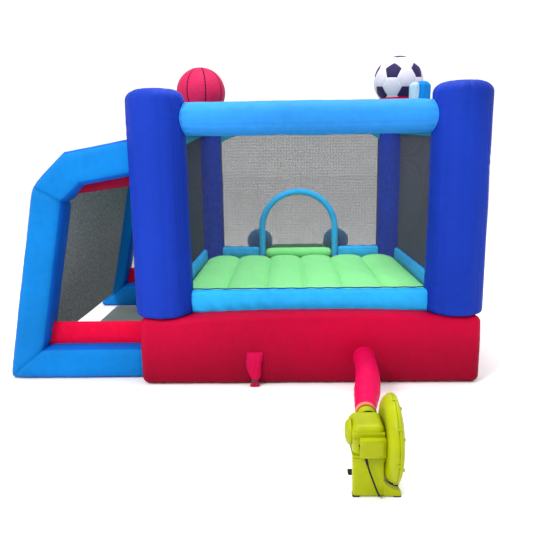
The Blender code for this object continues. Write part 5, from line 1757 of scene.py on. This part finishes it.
def control_shell(looks):
    """The control box: a pocket for the rocker in its left end, and a blank raised plate."""
    low, high = np.array((0.138, -2.315, 0.177)), np.array((0.238, -2.2853, 0.253))
    middle, half = (low + high) / 2, (high - low) / 2
    sides = 96
    sharp, soft = rounded_section(sides, 14), rounded_section(sides, 9)
    rings = []
    for x, wide, tall, section in (
        (0.1488, 0.0064, 0.0122, sharp), (0.1386, 0.0065, 0.0123, sharp), (0.1380, 0.0071, 0.0129, sharp),
        (low[0], half[1] - 0.0042, half[2] - 0.0042, soft), (0.1390, half[1] - 0.0016, half[2] - 0.0016, soft),
        (0.1415, half[1], half[2], soft), (0.2350, half[1], half[2], soft),
        (0.2372, half[1] - 0.0016, half[2] - 0.0016, soft), (high[0], half[1] - 0.0042, half[2] - 0.0042, soft),
    ):
        rings.append(np.column_stack([np.full(sides, x), middle[1] + wide * section[:, 0],
                                      middle[2] + tall * section[:, 1]]))
    plate = rounded_box((0.156, low[1] - 0.0009, 0.190), (0.226, low[1] + 0.003, 0.240), 0.0012, 0.010)
    shaped("control_shell", join([skin(rings), plate]), looks["lime"], ["control_box"])


def stand_shell(looks):
    """The blower's foot: upright walls that close in towards the rear, a ledge, and two toes on wide fillets."""
    low, high = np.array((0.114, -2.285, 0.004)), np.array((0.238, -2.085, 0.165))
    long = high[1] - low[1]
    parts = [rounded_box(low, high, 0.010, 0.008)]
    parts.append(rounded_box((low[0] - 0.0015, low[1] - 0.0015, 0.148), (high[0] + 0.0010, high[1] + 0.0015, 0.1648),
                             0.004, 0.010))
    for points, _ in parts:
        back, left = (points[:, 1] - low[1]) / long, (high[0] - points[:, 0]) / (high[0] - low[0])
        points[:, 0] += 0.020 * np.clip(back, 0, 1) * np.clip(left, 0, 1)
    section = rounded_section(48, 6)
    for y in (-2.285 + 0.0175, -2.085 - 0.0175):
        rings = []
        for share in np.linspace(0, 1, 28):
            tip = max(0.0, share - 0.85) / 0.15
            tall = (0.024 + 0.050 * (1 - share) ** 2.5) / 2 * (1 - 0.5 * tip ** 2)
            wide = 0.0185 * (1 - 0.30 * tip ** 2)
            x = high[0] - 0.006 + 0.072 * share
            rings.append(np.column_stack([np.full(48, x), y + wide * section[:, 0],
                                          low[2] + 0.0002 + tall + tall * section[:, 1]]))
        parts.append(skin(rings))
    shaped("stand_shell", join(parts), looks["lime"], ["blower_stand"])

    low, high = span("foot_strip_left")
    pad = 0.030
    pads = [rounded_box((low[0], y, low[2]), (high[0], y + pad, high[2]), 0.003, 0.003)
            for y in (low[1], high[1] - pad)]
    shaped("foot_pads_left", join(pads), looks["rubber"], ["foot_strip_left"])


def blower(looks):
    """The blower's shells, and the CAD's own solids for its small and inner pieces."""
    nodes = frame["nodes"]
    for name in ("foot_strip_right", "plug", "strain_relief"):
        give(nodes[name], looks["rubber"])
    for name in ("impeller", "power_switch"):
        give(nodes[name], looks["black"])
    give(nodes["motor"], looks["steel"])
    fan_shells(looks)
    motor_shells(looks)
    control_shell(looks)
    stand_shell(looks)


def give(target, material):
    """One material all over a CAD piece."""
    data = target.data
    data.materials.clear()
    data.materials.append(material)
    data.polygons.foreach_set("material_index", np.zeros(len(data.polygons), np.int32))


def main():
    camera()
    studio()
    looks = make_materials()
    power_lead(looks)
    air_hose(looks)
    base(looks)
    columns(looks)
    beams(looks)
    gussets(looks)
    borders(looks)
    jumping_floor(looks)
    nets(looks)
    doorway(looks)
    basketball(looks)
    soccer_ball(looks)
    beam_peg(looks)
    slide(looks)
    goal_bay(looks)
    deflation_sleeve(looks)
    blower(looks)


main()
